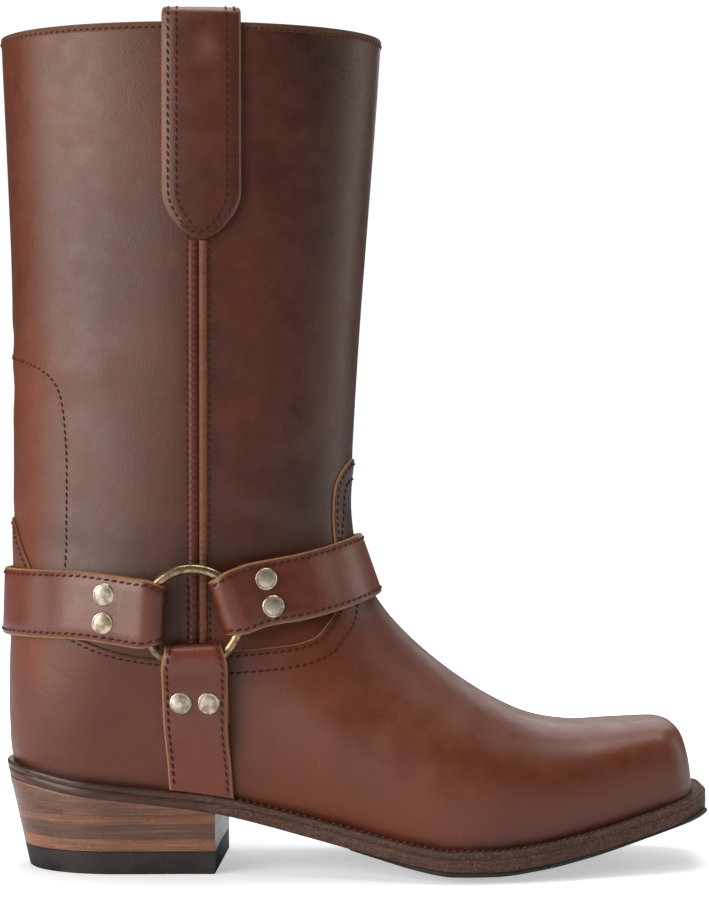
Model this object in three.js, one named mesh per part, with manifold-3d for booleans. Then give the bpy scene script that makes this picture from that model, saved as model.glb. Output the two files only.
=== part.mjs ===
// A tall leather harness boot for the right foot, with a square toe, a stacked heel, pull straps and
// three straps that meet at a ring on each side.
// Millimetres. +X points to the toe, +Z is up, and -Y is the outer side of the foot.
// Lengths along the boot are first measured from the back of the welt; the group is then moved so
// that its origin is the middle of the heel's resting face.
import * as THREE from "three";
import { mergeVertices } from "three/addons/utils/BufferGeometryUtils.js";
import Module from "manifold-3d";

const wasm = await Module();
wasm.setup();

// Overall sizes
const SOLE_LENGTH = 300;
const BALL_WIDTH = 103;
const HEEL_RISE = 30.1;
const TOE_SPRING = 20;
const ANKLE_HEIGHT = 158;
const SHAFT_FOOT = 166;
const VAMP_BACK = 85;
const COLLAR_HEIGHT = 352;
const COLLAR_LENGTH = 163;
const COLLAR_DEPTH = 92;
const COLLAR_OVERHANG = 2.8;

// Thicknesses
const UPPER_WALL = 3;
const WELT_THICKNESS = 2.6;
const OUTSOLE_THICKNESS = 5.2;
const OUTSOLE_HEEL_THICKNESS = 3.8;
const HALF_SOLE_THICKNESS = 4.6;
const HALF_SOLE_CROWN = 2;
const INSOLE_THICKNESS = 3.2;
const TOP_LIFT_THICKNESS = 9.6;
const LIFT_THICKNESSES = [5.2, 6.2, 3.8];

// Clearances: between curved faces that are glued or stitched, and under a strap or a rivet's cap
const GAP = 0.3;
const STRAP_GAP = 0.65;

// Margins of the welt outside the upper
const HEEL_MARGIN = 3;
const SIDE_MARGIN = 4.8;
const TOE_MARGIN = 7.6;
const HEEL_ROUND = 43;
const TOE_CORNER = 12;
const WELT_INNER_WIDTH = 12;

// Heel block
const HEEL_BREAST = 90.8;
const HEEL_SKEW = 2.4;
const HEEL_TUCK = 9.8;
const HEEL_TUCK_HEIGHT = 44;
const HEEL_SIDE_TAPER = 0.1;

// Harness
const STRAP_WIDTH = 27;
const STRAP_THICKNESS = 2.8;
const FOLD_WIDTH = 22;
const RING_OUTER_RADIUS = 22;
const RING_WIRE = 4.2;
const RING_X = 81.8;
const RING_HEIGHT = 108.6;
const REAR_STRAP_HEIGHT = 112;
const FRONT_STRAP_SLOPE = 0.265;
const FRONT_STRAP_SAG = 2.8;
const FRONT_FOLD_SLOPE = 0.34;
const SIDE_STRAP_LEAN = 3.8;
const RIVET_FROM_FOLD = 24.3;
const FRONT_RIVET_FROM_FOLD = 22;
const RIVET_PITCH = 11.6;
const RIVET_RADIUS = 4.5;
const RIVET_DOME = 1.7;
const RIVET_SHANK_RADIUS = 1.3;
const FOLD_TAIL = 32.5;

// Pull straps
const PULL_X = 86;
const PULL_WIDTH = 32;
const PULL_THICKNESS = 2.6;
const PULL_DROP = 89;
const PULL_INNER_DROP = 70;
const PULL_RISE = 6.4;
const PULL_POINT = 19;

// Fineness of the faceted forms
const UPPER_COLUMNS = 24;
const SOLE_STEP = 8.5;

// Plan of the sole. at: share of SOLE_LENGTH. half and shift: shares of half BALL_WIDTH, with the
// shift of the centre line positive towards the inner side of the foot.
const OUTLINE = [
  { at: 0.0, half: 0.64, shift: 0.0 },
  { at: 0.15, half: 0.665, shift: 0.0 },
  { at: 0.27, half: 0.65, shift: -0.01 },
  { at: 0.38, half: 0.665, shift: -0.04 },
  { at: 0.48, half: 0.76, shift: -0.06 },
  { at: 0.58, half: 0.92, shift: -0.055 },
  { at: 0.66, half: 1.0, shift: -0.03 },
  { at: 0.74, half: 0.965, shift: 0.015 },
  { at: 0.82, half: 0.855, shift: 0.06 },
  { at: 0.9, half: 0.72, shift: 0.093 },
  { at: 0.96, half: 0.62, shift: 0.112 },
  { at: 1.0, half: 0.56, shift: 0.12 },
];

// Side view of the outsole's underside. heel: share of HEEL_RISE. toe: share of TOE_SPRING.
const SOLE_PROFILE = [
  { at: 0.0, heel: 1.12, toe: 0.0 },
  { at: 0.05, heel: 1.035, toe: 0.0 },
  { at: 0.1, heel: 0.945, toe: 0.0 },
  { at: 0.15, heel: 0.885, toe: 0.0 },
  { at: 0.3, heel: 0.7, toe: 0.0 },
  { at: 0.42, heel: 0.425, toe: 0.0 },
  { at: 0.52, heel: 0.19, toe: 0.0 },
  { at: 0.58, heel: 0.065, toe: 0.0 },
  { at: 0.63, heel: 0.0, toe: 0.0 },
  { at: 0.69, heel: 0.0, toe: 0.0 },
  { at: 0.75, heel: 0.0, toe: 0.09 },
  { at: 0.82, heel: 0.0, toe: 0.27 },
  { at: 0.91, heel: 0.0, toe: 0.61 },
  { at: 1.0, heel: 0.0, toe: 1.0 },
];

// Thickness of the half sole. at: share of SOLE_LENGTH. thick: share of HALF_SOLE_THICKNESS.
const HALF_SOLE_START = 0.487;
const HALF_SOLE = [
  { at: 0.487, thick: 0.3 },
  { at: 0.54, thick: 0.6 },
  { at: 0.61, thick: 1.0 },
  { at: 0.71, thick: 1.0 },
  { at: 0.86, thick: 0.75 },
  { at: 1.0, thick: 0.5 },
];

// Sections of the last, from the toe's front edge over the instep and up the shaft. Each runs from
// its foot, on the feather edge or the back line, to its crown on the top or front line.
// footX, crownX: shares of SOLE_LENGTH. crownZ: share of ANKLE_HEIGHT. wide: widest half width, as a
// share of half BALL_WIDTH. level: where it is widest. rise: height over the feather edge at which
// that width is reached, as a share of ANKLE_HEIGHT. top, side: fullness of the rounding above it.
const FOOT_SECTIONS = [
  { footX: 0.9747, crownX: 0.9747, crownZ: 0.2, wide: 0.5, level: 0.15, rise: 0.1, top: 8.0, side: 8.0 },
  { footX: 0.969, crownX: 0.971, crownZ: 0.27, wide: 0.52, level: 0.15, rise: 0.1, top: 7.0, side: 7.0 },
  { footX: 0.96, crownX: 0.9645, crownZ: 0.333, wide: 0.54, level: 0.17, rise: 0.1, top: 6.0, side: 5.5 },
  { footX: 0.947, crownX: 0.955, crownZ: 0.37, wide: 0.57, level: 0.2, rise: 0.1, top: 5.0, side: 4.4 },
  { footX: 0.931, crownX: 0.938, crownZ: 0.387, wide: 0.6, level: 0.25, rise: 0.1, top: 4.2, side: 3.6 },
  { footX: 0.911, crownX: 0.914, crownZ: 0.388, wide: 0.64, level: 0.3, rise: 0.1, top: 3.7, side: 3.1 },
  { footX: 0.866, crownX: 0.861, crownZ: 0.384, wide: 0.74, level: 0.32, rise: 0.105, top: 3.2, side: 2.8 },
  { footX: 0.813, crownX: 0.804, crownZ: 0.381, wide: 0.835, level: 0.32, rise: 0.11, top: 2.9, side: 2.6 },
  { footX: 0.753, crownX: 0.745, crownZ: 0.402, wide: 0.91, level: 0.32, rise: 0.115, top: 2.6, side: 2.4 },
  { footX: 0.687, crownX: 0.687, crownZ: 0.454, wide: 0.95, level: 0.33, rise: 0.12, top: 2.4, side: 2.2 },
  { footX: 0.613, crownX: 0.634, crownZ: 0.52, wide: 0.94, level: 0.34, rise: 0.14, top: 2.3, side: 2.1 },
  { footX: 0.533, crownX: 0.59, crownZ: 0.587, wide: 0.895, level: 0.36, rise: 0.18, top: 2.2, side: 2.1 },
  { footX: 0.447, crownX: 0.555, crownZ: 0.652, wide: 0.855, level: 0.38, rise: 0.24, top: 2.1, side: 2.05 },
  { footX: 0.353, crownX: 0.528, crownZ: 0.718, wide: 0.835, level: 0.4, rise: 0.32, top: 2.0, side: 2.0 },
  { footX: 0.26, crownX: 0.5095, crownZ: 0.785, wide: 0.82, level: 0.43, rise: 0.4, top: 2.0, side: 2.0 },
  { footX: 0.167, crownX: 0.499, crownZ: 0.848, wide: 0.815, level: 0.45, rise: 0.45, top: 2.0, side: 2.0 },
  { footX: 0.09, crownX: 0.494, crownZ: 0.905, wide: 0.812, level: 0.47, rise: 0.48, top: 2.0, side: 2.0 },
  { footX: 0.035, crownX: 0.4915, crownZ: 0.957, wide: 0.812, level: 0.48, rise: 0.48, top: 2.0, side: 2.0 },
];

// The shaft, from the section through the back of the heel seat up to the collar.
// backX, frontX: shares of COLLAR_LENGTH from the collar's back. backZ: share of the height from the
// heel seat to the collar. frontZ: share of the height from the ankle to the collar. wide: share of
// half COLLAR_DEPTH.
const SHAFT_SECTIONS = [
  { backX: 0.0355, frontX: 0.9215, backZ: 0.0, frontZ: 0.0, wide: 0.91, level: 0.49 },
  { backX: 0.0245, frontX: 0.922, backZ: 0.055, frontZ: 0.04, wide: 0.917, level: 0.5 },
  { backX: 0.0235, frontX: 0.924, backZ: 0.13, frontZ: 0.083, wide: 0.924, level: 0.5 },
  { backX: 0.029, frontX: 0.927, backZ: 0.217, frontZ: 0.135, wide: 0.933, level: 0.5 },
  { backX: 0.0325, frontX: 0.931, backZ: 0.325, frontZ: 0.205, wide: 0.941, level: 0.5 },
  { backX: 0.033, frontX: 0.9375, backZ: 0.44, frontZ: 0.296, wide: 0.948, level: 0.5 },
  { backX: 0.0315, frontX: 0.947, backZ: 0.565, frontZ: 0.413, wide: 0.957, level: 0.5 },
  { backX: 0.0265, frontX: 0.96, backZ: 0.69, frontZ: 0.55, wide: 0.967, level: 0.5 },
  { backX: 0.0175, frontX: 0.974, backZ: 0.802, frontZ: 0.698, wide: 0.978, level: 0.5 },
  { backX: 0.0085, frontX: 0.988, backZ: 0.905, frontZ: 0.85, wide: 0.99, level: 0.5 },
  { backX: 0.0, frontX: 1.0, backZ: 1.0, frontZ: 1.0, wide: 1.0, level: 0.5 },
];

const LEATHER = new THREE.MeshStandardMaterial({ color: 0x5e3020, roughness: 0.45, metalness: 0 });
const STRAP_LEATHER = new THREE.MeshStandardMaterial({ color: 0x72361f, roughness: 0.45, metalness: 0 });
const SOLE_LEATHER = new THREE.MeshStandardMaterial({ color: 0x4d3226, roughness: 0.6, metalness: 0 });
const HEEL_LEATHER = new THREE.MeshStandardMaterial({ color: 0x6b4230, roughness: 0.55, metalness: 0 });
const INSOLE_LEATHER = new THREE.MeshStandardMaterial({ color: 0xb98a5e, roughness: 0.7, metalness: 0 });
const RUBBER = new THREE.MeshStandardMaterial({ color: 0x2b2927, roughness: 0.75, metalness: 0 });
const BRASS = new THREE.MeshStandardMaterial({ color: 0x8f7a55, roughness: 0.35, metalness: 1 });

const mix = (a, b, share) => a + (b - a) * share;
const clamp01 = (value) => Math.min(1, Math.max(0, value));
const smooth = (low, high, value) => {
  const share = clamp01((value - low) / (high - low));
  return share * share * (3 - 2 * share);
};

// The value of one column at a place between rows, on a curve through them that never overshoots.
function lookup(rows, column, at) {
  const last = rows.length - 1;
  const place = Math.min(rows[last].at, Math.max(rows[0].at, at));
  let i = 0;
  while (i < last - 1 && rows[i + 1].at < place) i += 1;
  const step = (k) => rows[k + 1].at - rows[k].at;
  const slope = (k) => (rows[k + 1][column] - rows[k][column]) / step(k);
  const tangent = (k) => {
    if (k === 0) return slope(0);
    if (k === last) return slope(last - 1);
    const [before, after] = [slope(k - 1), slope(k)];
    return before * after <= 0 ? 0 : (2 * before * after) / (before + after);
  };
  const h = step(i);
  const u = (place - rows[i].at) / h;
  const [p, q] = [rows[i][column], rows[i + 1][column]];
  const [m, n] = [tangent(i) * h, tangent(i + 1) * h];
  return p + u * (m + u * (3 * (q - p) - 2 * m - n + u * (2 * (p - q) + m + n)));
}

// The value of one column at a place counted in rows, on a smooth curve through them.
function follow(rows, column, place) {
  const i = Math.min(rows.length - 2, Math.max(0, Math.floor(place)));
  const u = place - i;
  const value = (k) => rows[Math.min(rows.length - 1, Math.max(0, k))][column];
  const [a, b, c, d] = [value(i - 1), value(i), value(i + 1), value(i + 2)];
  return 0.5 * (2 * b + u * (c - a + u * (2 * a - 5 * b + 4 * c - d + u * (3 * b - a - 3 * c + d))));
}

// The sole's side view
const BALL_HEIGHT = HALF_SOLE_THICKNESS + GAP;
function soleBottom(x) {
  const at = x / SOLE_LENGTH;
  const heel = lookup(SOLE_PROFILE, "heel", at) * HEEL_RISE;
  return BALL_HEIGHT + heel + lookup(SOLE_PROFILE, "toe", at) * TOE_SPRING;
}
function outsoleTop(x) {
  const share = smooth(0.2, 0.48, x / SOLE_LENGTH);
  return soleBottom(x) + mix(OUTSOLE_HEEL_THICKNESS, OUTSOLE_THICKNESS, share);
}
const weltBottom = (x) => outsoleTop(x) + GAP;
const weltTop = (x) => weltBottom(x) + WELT_THICKNESS;
const feather = (x) => weltTop(x) + GAP;

// The sole's plan. An edge is {back, front, inset, round, corner}.
const centreLine = (x) => (lookup(OUTLINE, "shift", x / SOLE_LENGTH) * BALL_WIDTH) / 2;
function planHalf(x, edge) {
  let half = (lookup(OUTLINE, "half", x / SOLE_LENGTH) * BALL_WIDTH) / 2 - edge.inset;
  const fromBack = clamp01((x - edge.back) / edge.round);
  half *= (1 - (1 - fromBack) ** 2.2) ** (1 / 2.2);
  const fromFront = Math.min(edge.corner, Math.max(0, edge.front - x));
  return half - edge.corner + Math.sqrt(edge.corner ** 2 - (edge.corner - fromFront) ** 2);
}
const SOLE_EDGE = { back: 0, front: SOLE_LENGTH, inset: 0, round: HEEL_ROUND, corner: TOE_CORNER };
const insetEdge = (edge, inset) => ({
  ...edge,
  back: edge.back + inset,
  front: edge.front - inset,
  inset: edge.inset + inset,
  round: edge.round - inset,
});
const FEATHER_EDGE = {
  back: HEEL_MARGIN,
  front: SOLE_LENGTH - TOE_MARGIN,
  inset: SIDE_MARGIN,
  round: HEEL_ROUND - HEEL_MARGIN,
  corner: TOE_CORNER - 1,
};
function weltMargin(x) {
  const share = smooth(0.2, 0.55, x / SOLE_LENGTH);
  return mix(HEEL_MARGIN, SIDE_MARGIN, share);
}
const featherHalf = (x) => planHalf(x, { ...FEATHER_EDGE, inset: weltMargin(x) });

// The last's sections, as one list of rows in millimetres
const heelSeat = feather(FEATHER_EDGE.back);
const footRow = (row) => ({
  footX: row.footX * SOLE_LENGTH,
  footZ: feather(row.footX * SOLE_LENGTH),
  crownX: row.crownX * SOLE_LENGTH,
  crownZ: Math.max(row.crownZ * ANKLE_HEIGHT, feather(row.footX * SOLE_LENGTH)),
  wide: (row.wide * BALL_WIDTH) / 2,
  level: row.level,
  rise: row.rise * ANKLE_HEIGHT,
  top: row.top,
  side: row.side,
});
const shaftRow = (row, i) => ({
  footX: i === 0 ? FEATHER_EDGE.back : row.backX * COLLAR_LENGTH - COLLAR_OVERHANG,
  footZ: mix(heelSeat, COLLAR_HEIGHT, row.backZ),
  crownX: row.frontX * COLLAR_LENGTH - COLLAR_OVERHANG,
  crownZ: mix(ANKLE_HEIGHT, COLLAR_HEIGHT, row.frontZ),
  wide: (row.wide * COLLAR_DEPTH) / 2,
  level: row.level,
  rise: 0.48 * ANKLE_HEIGHT,
  top: 2,
  side: 2,
});
const toeRow = { ...footRow(FOOT_SECTIONS[0]), footX: FEATHER_EDGE.front, crownX: FEATHER_EDGE.front };
toeRow.footZ = toeRow.crownZ = feather(FEATHER_EDGE.front);
const SECTIONS = [toeRow, ...FOOT_SECTIONS.slice(1).map(footRow), ...SHAFT_SECTIONS.map(shaftRow)];
const HEEL_ROW = FOOT_SECTIONS.length;
const LAST_ROW = SECTIONS.length - 1;
const COLUMNS = ["footX", "footZ", "crownX", "crownZ", "wide", "level", "rise", "top", "side"];

function sectionAt(place) {
  const made = Object.fromEntries(COLUMNS.map((name) => [name, follow(SECTIONS, name, place)]));
  if (place < HEEL_ROW) made.footZ = feather(made.footX);
  return made;
}

// x of the back line at a height, and of the toe's front wall at a height
const backRows = SECTIONS.slice(HEEL_ROW).map((row) => ({ at: row.footZ, x: row.footX }));
const frontRows = SECTIONS.slice(0, 5).map((row) => ({ at: row.crownZ, x: row.crownX }));
const backLine = (z) => lookup(backRows, "x", z);
const toeLine = (z) => lookup(frontRows, "x", z);

// Half width of the upper at the share t of a section's way from its foot to its crown
function sectionHalf(section, t, x, z) {
  const low = planHalf(x, { ...FEATHER_EDGE, inset: weltMargin(x), back: -1e3, front: 1e3 });
  const climb = Math.sin((Math.PI / 2) * clamp01((z - feather(x)) / section.rise));
  let half = mix(low, section.wide, climb);
  const fromToe = Math.min(FEATHER_EDGE.corner, Math.max(0, toeLine(z) - x));
  const corner = FEATHER_EDGE.corner;
  half -= corner - Math.sqrt(corner ** 2 - (corner - fromToe) ** 2);
  const over = clamp01((t - section.level) / (1 - section.level));
  half *= (1 - over ** section.top) ** (1 / section.side);
  const tall = smooth(heelSeat, ANKLE_HEIGHT, z);
  const round = mix(FEATHER_EDGE.round, 0.49 * COLLAR_LENGTH, tall);
  const power = mix(2.2, 2, tall);
  return half * (1 - (1 - clamp01((x - backLine(z)) / round)) ** power) ** (1 / power);
}
const upperCentre = (x, z) => centreLine(x) * (1 - smooth(0.35 * ANKLE_HEIGHT, 0.85 * ANKLE_HEIGHT, z));

// A point of the upper's outer face. place counts sections; around runs from -1, the foot of the
// section on the outer side, over its crown at 0 to 1, its foot on the inner side.
const SIDE_SHARE = 0.38;
function upperPoint(place, around) {
  const section = sectionAt(place);
  const a = 1 - Math.abs(around);
  let t;
  if (a < SIDE_SHARE) t = section.level * (1 - Math.cos((Math.PI / 2) * (a / SIDE_SHARE)));
  else {
    const angle = ((Math.PI / 2) * (a - SIDE_SHARE)) / (1 - SIDE_SHARE);
    t = section.level + (1 - section.level) * Math.sin(angle) ** (2 / section.top);
  }
  const x = mix(section.footX, section.crownX, t);
  const z = mix(section.footZ, section.crownZ, t);
  const half = a > 0.9999 ? 0 : sectionHalf(section, t, x, z);
  return new THREE.Vector3(x, upperCentre(x, z) + Math.sign(around) * half, z);
}

// The upper's outer face seen from the side: its y, and its outward normal, at x and z
function halfAt(x, z) {
  let [low, high] = [0.01, LAST_ROW];
  for (let i = 0; i < 40; i += 1) {
    const middle = (low + high) / 2;
    const s = sectionAt(middle);
    const turn = (s.crownX - s.footX) * (z - s.footZ) - (s.crownZ - s.footZ) * (x - s.footX);
    if (turn > 0) low = middle;
    else high = middle;
  }
  const s = sectionAt(low);
  const [dx, dz] = [s.crownX - s.footX, s.crownZ - s.footZ];
  const t = clamp01(((x - s.footX) * dx + (z - s.footZ) * dz) / (dx * dx + dz * dz));
  return sectionHalf(s, t, x, z);
}
function sideFace(x, z, side) {
  const step = 0.5;
  const y = (px, pz) => upperCentre(px, pz) + side * halfAt(px, pz);
  const slopeX = (y(x + step, z) - y(x - step, z)) / (2 * step);
  const slopeZ = (y(x, z + step) - y(x, z - step)) / (2 * step);
  const normal = new THREE.Vector3(-slopeX, 1, -slopeZ).multiplyScalar(side).normalize();
  return { point: new THREE.Vector3(x, y(x, z), z), normal };
}

// A geometry of these points and triangles, with shared points merged and empty triangles dropped
function geometryOf(points, faces) {
  const flat = new Float32Array(points.flatMap((p) => [p.x, p.y, p.z]));
  const raw = new THREE.BufferGeometry();
  raw.setAttribute("position", new THREE.BufferAttribute(flat, 3));
  raw.setIndex(faces.flat());
  const merged = mergeVertices(raw, 2e-3);
  const index = merged.index.array;
  const kept = [];
  for (let i = 0; i < index.length; i += 3) {
    const [a, b, c] = [index[i], index[i + 1], index[i + 2]];
    if (a !== b && b !== c && c !== a) kept.push(a, b, c);
  }
  merged.setIndex(kept);
  return merged;
}

// Triangles of a grid of points, and of the wall between the rims of two such grids
function gridFaces(rows, columns, start, flip) {
  const faces = [];
  for (let i = 0; i < rows; i += 1) {
    for (let j = 0; j < columns; j += 1) {
      const a = start + i * (columns + 1) + j;
      const [b, c, d] = [a + 1, a + columns + 2, a + columns + 1];
      if (flip) faces.push([a, c, b], [a, d, c]);
      else faces.push([a, b, c], [a, c, d]);
    }
  }
  return faces;
}

// The solid between a lower and an upper face over one grid. low and high take (row, column) shares.
function solidBetween(rows, columns, low, high) {
  const points = [];
  for (const face of [low, high]) {
    for (let i = 0; i <= rows; i += 1) {
      for (let j = 0; j <= columns; j += 1) points.push(face(i / rows, j / columns, i, j));
    }
  }
  const top = (rows + 1) * (columns + 1);
  const faces = [...gridFaces(rows, columns, 0, true), ...gridFaces(rows, columns, top, false)];
  const rim = [];
  for (let j = 0; j < columns; j += 1) rim.push(j);
  for (let i = 0; i < rows; i += 1) rim.push(i * (columns + 1) + columns);
  for (let j = columns; j > 0; j -= 1) rim.push(rows * (columns + 1) + j);
  for (let i = rows; i > 0; i -= 1) rim.push(i * (columns + 1));
  rim.forEach((a, k) => {
    const b = rim[(k + 1) % rim.length];
    faces.push([a, b, top + b], [a, top + b, top + a]);
  });
  return outward(geometryOf(points, faces));
}

function volumeOf(geometry) {
  const p = geometry.attributes.position;
  const index = geometry.index.array;
  const [a, b, c] = [new THREE.Vector3(), new THREE.Vector3(), new THREE.Vector3()];
  let six = 0;
  for (let i = 0; i < index.length; i += 3) {
    a.fromBufferAttribute(p, index[i]);
    b.fromBufferAttribute(p, index[i + 1]);
    c.fromBufferAttribute(p, index[i + 2]);
    six += a.dot(b.cross(c));
  }
  return six / 6;
}
function outward(geometry) {
  if (volumeOf(geometry) >= 0) return geometry;
  const index = Array.from(geometry.index.array);
  for (let i = 0; i < index.length; i += 3) [index[i + 1], index[i + 2]] = [index[i + 2], index[i + 1]];
  geometry.setIndex(index);
  return geometry;
}

// An open face given a wall on its inner side. Rim points are levelled with their outer neighbour
// where they stand on the welt.
function walled(face, wall) {
  face.computeVertexNormals();
  const [p, n] = [face.attributes.position, face.attributes.normal];
  const points = [];
  for (let i = 0; i < p.count; i += 1) points.push(new THREE.Vector3().fromBufferAttribute(p, i));
  const index = Array.from(face.index.array);
  const edges = new Map();
  for (let i = 0; i < index.length; i += 3) {
    for (let k = 0; k < 3; k += 1) {
      const [a, b] = [index[i + k], index[i + ((k + 1) % 3)]];
      if (!edges.delete(`${b} ${a}`)) edges.set(`${a} ${b}`, [a, b]);
    }
  }
  const rim = new Set([...edges.values()].flat());
  for (let i = 0; i < p.count; i += 1) {
    const normal = new THREE.Vector3().fromBufferAttribute(n, i);
    if (rim.has(i)) normal.setZ(0).normalize();
    points.push(points[i].clone().addScaledVector(normal, -wall));
  }
  const faces = [];
  for (let i = 0; i < index.length; i += 3) {
    const [a, b, c] = [index[i], index[i + 1], index[i + 2]];
    faces.push([a, b, c], [a + p.count, c + p.count, b + p.count]);
  }
  for (const [a, b] of edges.values()) {
    faces.push([b, a, a + p.count], [b, a + p.count, b + p.count]);
  }
  return outward(geometryOf(points, faces));
}

function toManifold(geometry) {
  const vertProperties = new Float32Array(geometry.attributes.position.array);
  const triVerts = new Uint32Array(geometry.index.array);
  return new wasm.Manifold(new wasm.Mesh({ numProp: 3, vertProperties, triVerts }));
}
function fromManifold(solid) {
  const mesh = solid.getMesh();
  const geometry = new THREE.BufferGeometry();
  geometry.setAttribute("position", new THREE.BufferAttribute(new Float32Array(mesh.vertProperties), 3));
  geometry.setIndex(Array.from(mesh.triVerts));
  return geometry;
}
// Any closed three.js geometry with its points shared
function welded(geometry) {
  geometry.deleteAttribute("normal");
  geometry.deleteAttribute("uv");
  return mergeVertices(geometry, 1e-3);
}

const boot = new THREE.Group();
function add(name, geometry, material) {
  const mesh = new THREE.Mesh(geometry, material);
  mesh.name = name;
  boot.add(mesh);
}

// Upper: one wall, open at the collar and underneath, parted into vamp, counter and shaft at their seams
{
  const places = [];
  for (let place = 0; place <= LAST_ROW; place += place > 5 && place < HEEL_ROW - 1 ? 0.5 : 1) {
    places.push(place);
  }
  const points = places.flatMap((place) =>
    Array.from({ length: UPPER_COLUMNS + 1 }, (_, j) => upperPoint(place, -1 + (2 * j) / UPPER_COLUMNS)),
  );
  const face = geometryOf(points, gridFaces(places.length - 1, UPPER_COLUMNS, 0, false));
  const whole = toManifold(walled(face, UPPER_WALL));
  const within = (lowX, highX, lowZ, highZ) => {
    const block = welded(new THREE.BoxGeometry(highX - lowX, 2 * SOLE_LENGTH, highZ - lowZ));
    block.translate((lowX + highX) / 2, 0, (lowZ + highZ) / 2);
    return fromManifold(whole.intersect(toManifold(block)));
  };
  const [back, front] = [-SOLE_LENGTH, 2 * SOLE_LENGTH];
  add("counter", within(back, VAMP_BACK - GAP, 0, SHAFT_FOOT - GAP), LEATHER);
  add("vamp", within(VAMP_BACK, front, 0, SHAFT_FOOT - GAP), LEATHER);
  add("shaft", within(back, front, SHAFT_FOOT, 2 * COLLAR_HEIGHT), LEATHER);
}

// Stations along the sole: close together round the heel and the toe's corners, and the same between
// them for every plate, so that neighbouring faces stay parallel
const packed = (share) => (1 - Math.cos(Math.PI * share)) / 2;
function stations(edge) {
  const made = [];
  const middle = [];
  for (let x = SOLE_STEP; x < SOLE_LENGTH; x += SOLE_STEP) {
    if (x > edge.back + edge.round * 0.9 && x < edge.front - edge.corner - 3) middle.push(x);
  }
  const ends = edge.round > 1 ? 7 : 1;
  for (let i = 0; i < ends; i += 1) {
    made.push(edge.back + (middle[0] - edge.back) * (1 - Math.cos((Math.PI / 2) * (i / ends))));
  }
  made.push(...middle);
  for (let i = 0; i <= 5; i += 1) made.push(edge.front - edge.corner * Math.cos((Math.PI / 2) * (i / 5)));
  return made;
}
// A plate that follows the sole's curve, between two edges given as plans and two heights
function plate(lowEdge, highEdge, lowZ, highZ, columns = 1) {
  const places = [stations(lowEdge), stations(highEdge)];
  const face = (k, edge, height) => (u, v, i) => {
    const x = places[k][i];
    return new THREE.Vector3(x, centreLine(x) + (2 * v - 1) * planHalf(x, edge), height(x, v));
  };
  return solidBetween(places[0].length - 1, columns, face(0, lowEdge, lowZ), face(1, highEdge, highZ));
}

// Outsole, welt, half sole and insole
const tuck = (z) => Math.max(0, HEEL_TUCK * (1 - z / HEEL_TUCK_HEIGHT));
const tuckedEdge = (z) => ({ ...SOLE_EDGE, back: tuck(z) });
add(
  "outsole",
  plate(tuckedEdge(soleBottom(0)), tuckedEdge(outsoleTop(0)), soleBottom, outsoleTop),
  SOLE_LEATHER,
);
{
  const inner = insetEdge(SOLE_EDGE, WELT_INNER_WIDTH);
  const whole = plate(tuckedEdge(weltBottom(0)), SOLE_EDGE, weltBottom, weltTop);
  const clear = (face, lift) => (x) => face(x) + lift;
  const hole = plate(inner, inner, clear(weltBottom, -2), clear(weltTop, 2));
  add("welt", fromManifold(toManifold(whole).subtract(toManifold(hole))), SOLE_LEATHER);
  const seat = insetEdge(FEATHER_EDGE, UPPER_WALL + 3);
  const plug = insetEdge(SOLE_EDGE, WELT_INNER_WIDTH + GAP);
  const insoleTop = clear(feather, INSOLE_THICKNESS);
  const board = plate(seat, seat, feather, insoleTop);
  const filling = plate(plug, plug, clear(outsoleTop, GAP), clear(feather, 1));
  add("insole", fromManifold(toManifold(board).add(toManifold(filling))), INSOLE_LEATHER);
}
{
  const edge = { ...insetEdge(SOLE_EDGE, 1.2), back: HALF_SOLE_START * SOLE_LENGTH, round: 1e-3 };
  const thick = (x) => lookup(HALF_SOLE, "thick", x / SOLE_LENGTH);
  const high = (x) => soleBottom(x) - GAP;
  const low = (x, v) => {
    const crown = HALF_SOLE_CROWN * smooth(0.34, 1, Math.abs(2 * v - 1));
    return high(x) - thick(x) * (HALF_SOLE_THICKNESS - crown);
  };
  add("half_sole", plate(edge, edge, low, high, 6), RUBBER);
}

// Heel: a rubber top lift, flat leather lifts, and a wedge that takes up the slope of the seat
function heelPlate(lowZ, highZ) {
  const face = (height) => (u, v) => {
    const level = height(HEEL_BREAST / 2);
    const back = tuck(height(0));
    const x = mix(back, HEEL_BREAST + HEEL_SKEW * v, 1 - Math.cos((Math.PI / 2) * u));
    const edge = { ...SOLE_EDGE, back, inset: HEEL_SIDE_TAPER * Math.max(0, HEEL_TUCK_HEIGHT - level) };
    return new THREE.Vector3(x, (2 * v - 1) * planHalf(x, edge), height(x));
  };
  return solidBetween(14, 1, face(lowZ), face(highZ));
}
{
  const flat = (z) => () => z;
  let level = TOP_LIFT_THICKNESS;
  add("top_lift", heelPlate(flat(0), flat(level)), RUBBER);
  LIFT_THICKNESSES.forEach((thickness, i) => {
    add(`heel_lift_${i + 1}`, heelPlate(flat(level), flat(level + thickness)), HEEL_LEATHER);
    level += thickness;
  });
  add("heel_wedge", heelPlate(flat(level), (x) => soleBottom(x) - GAP), HEEL_LEATHER);
}

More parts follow.
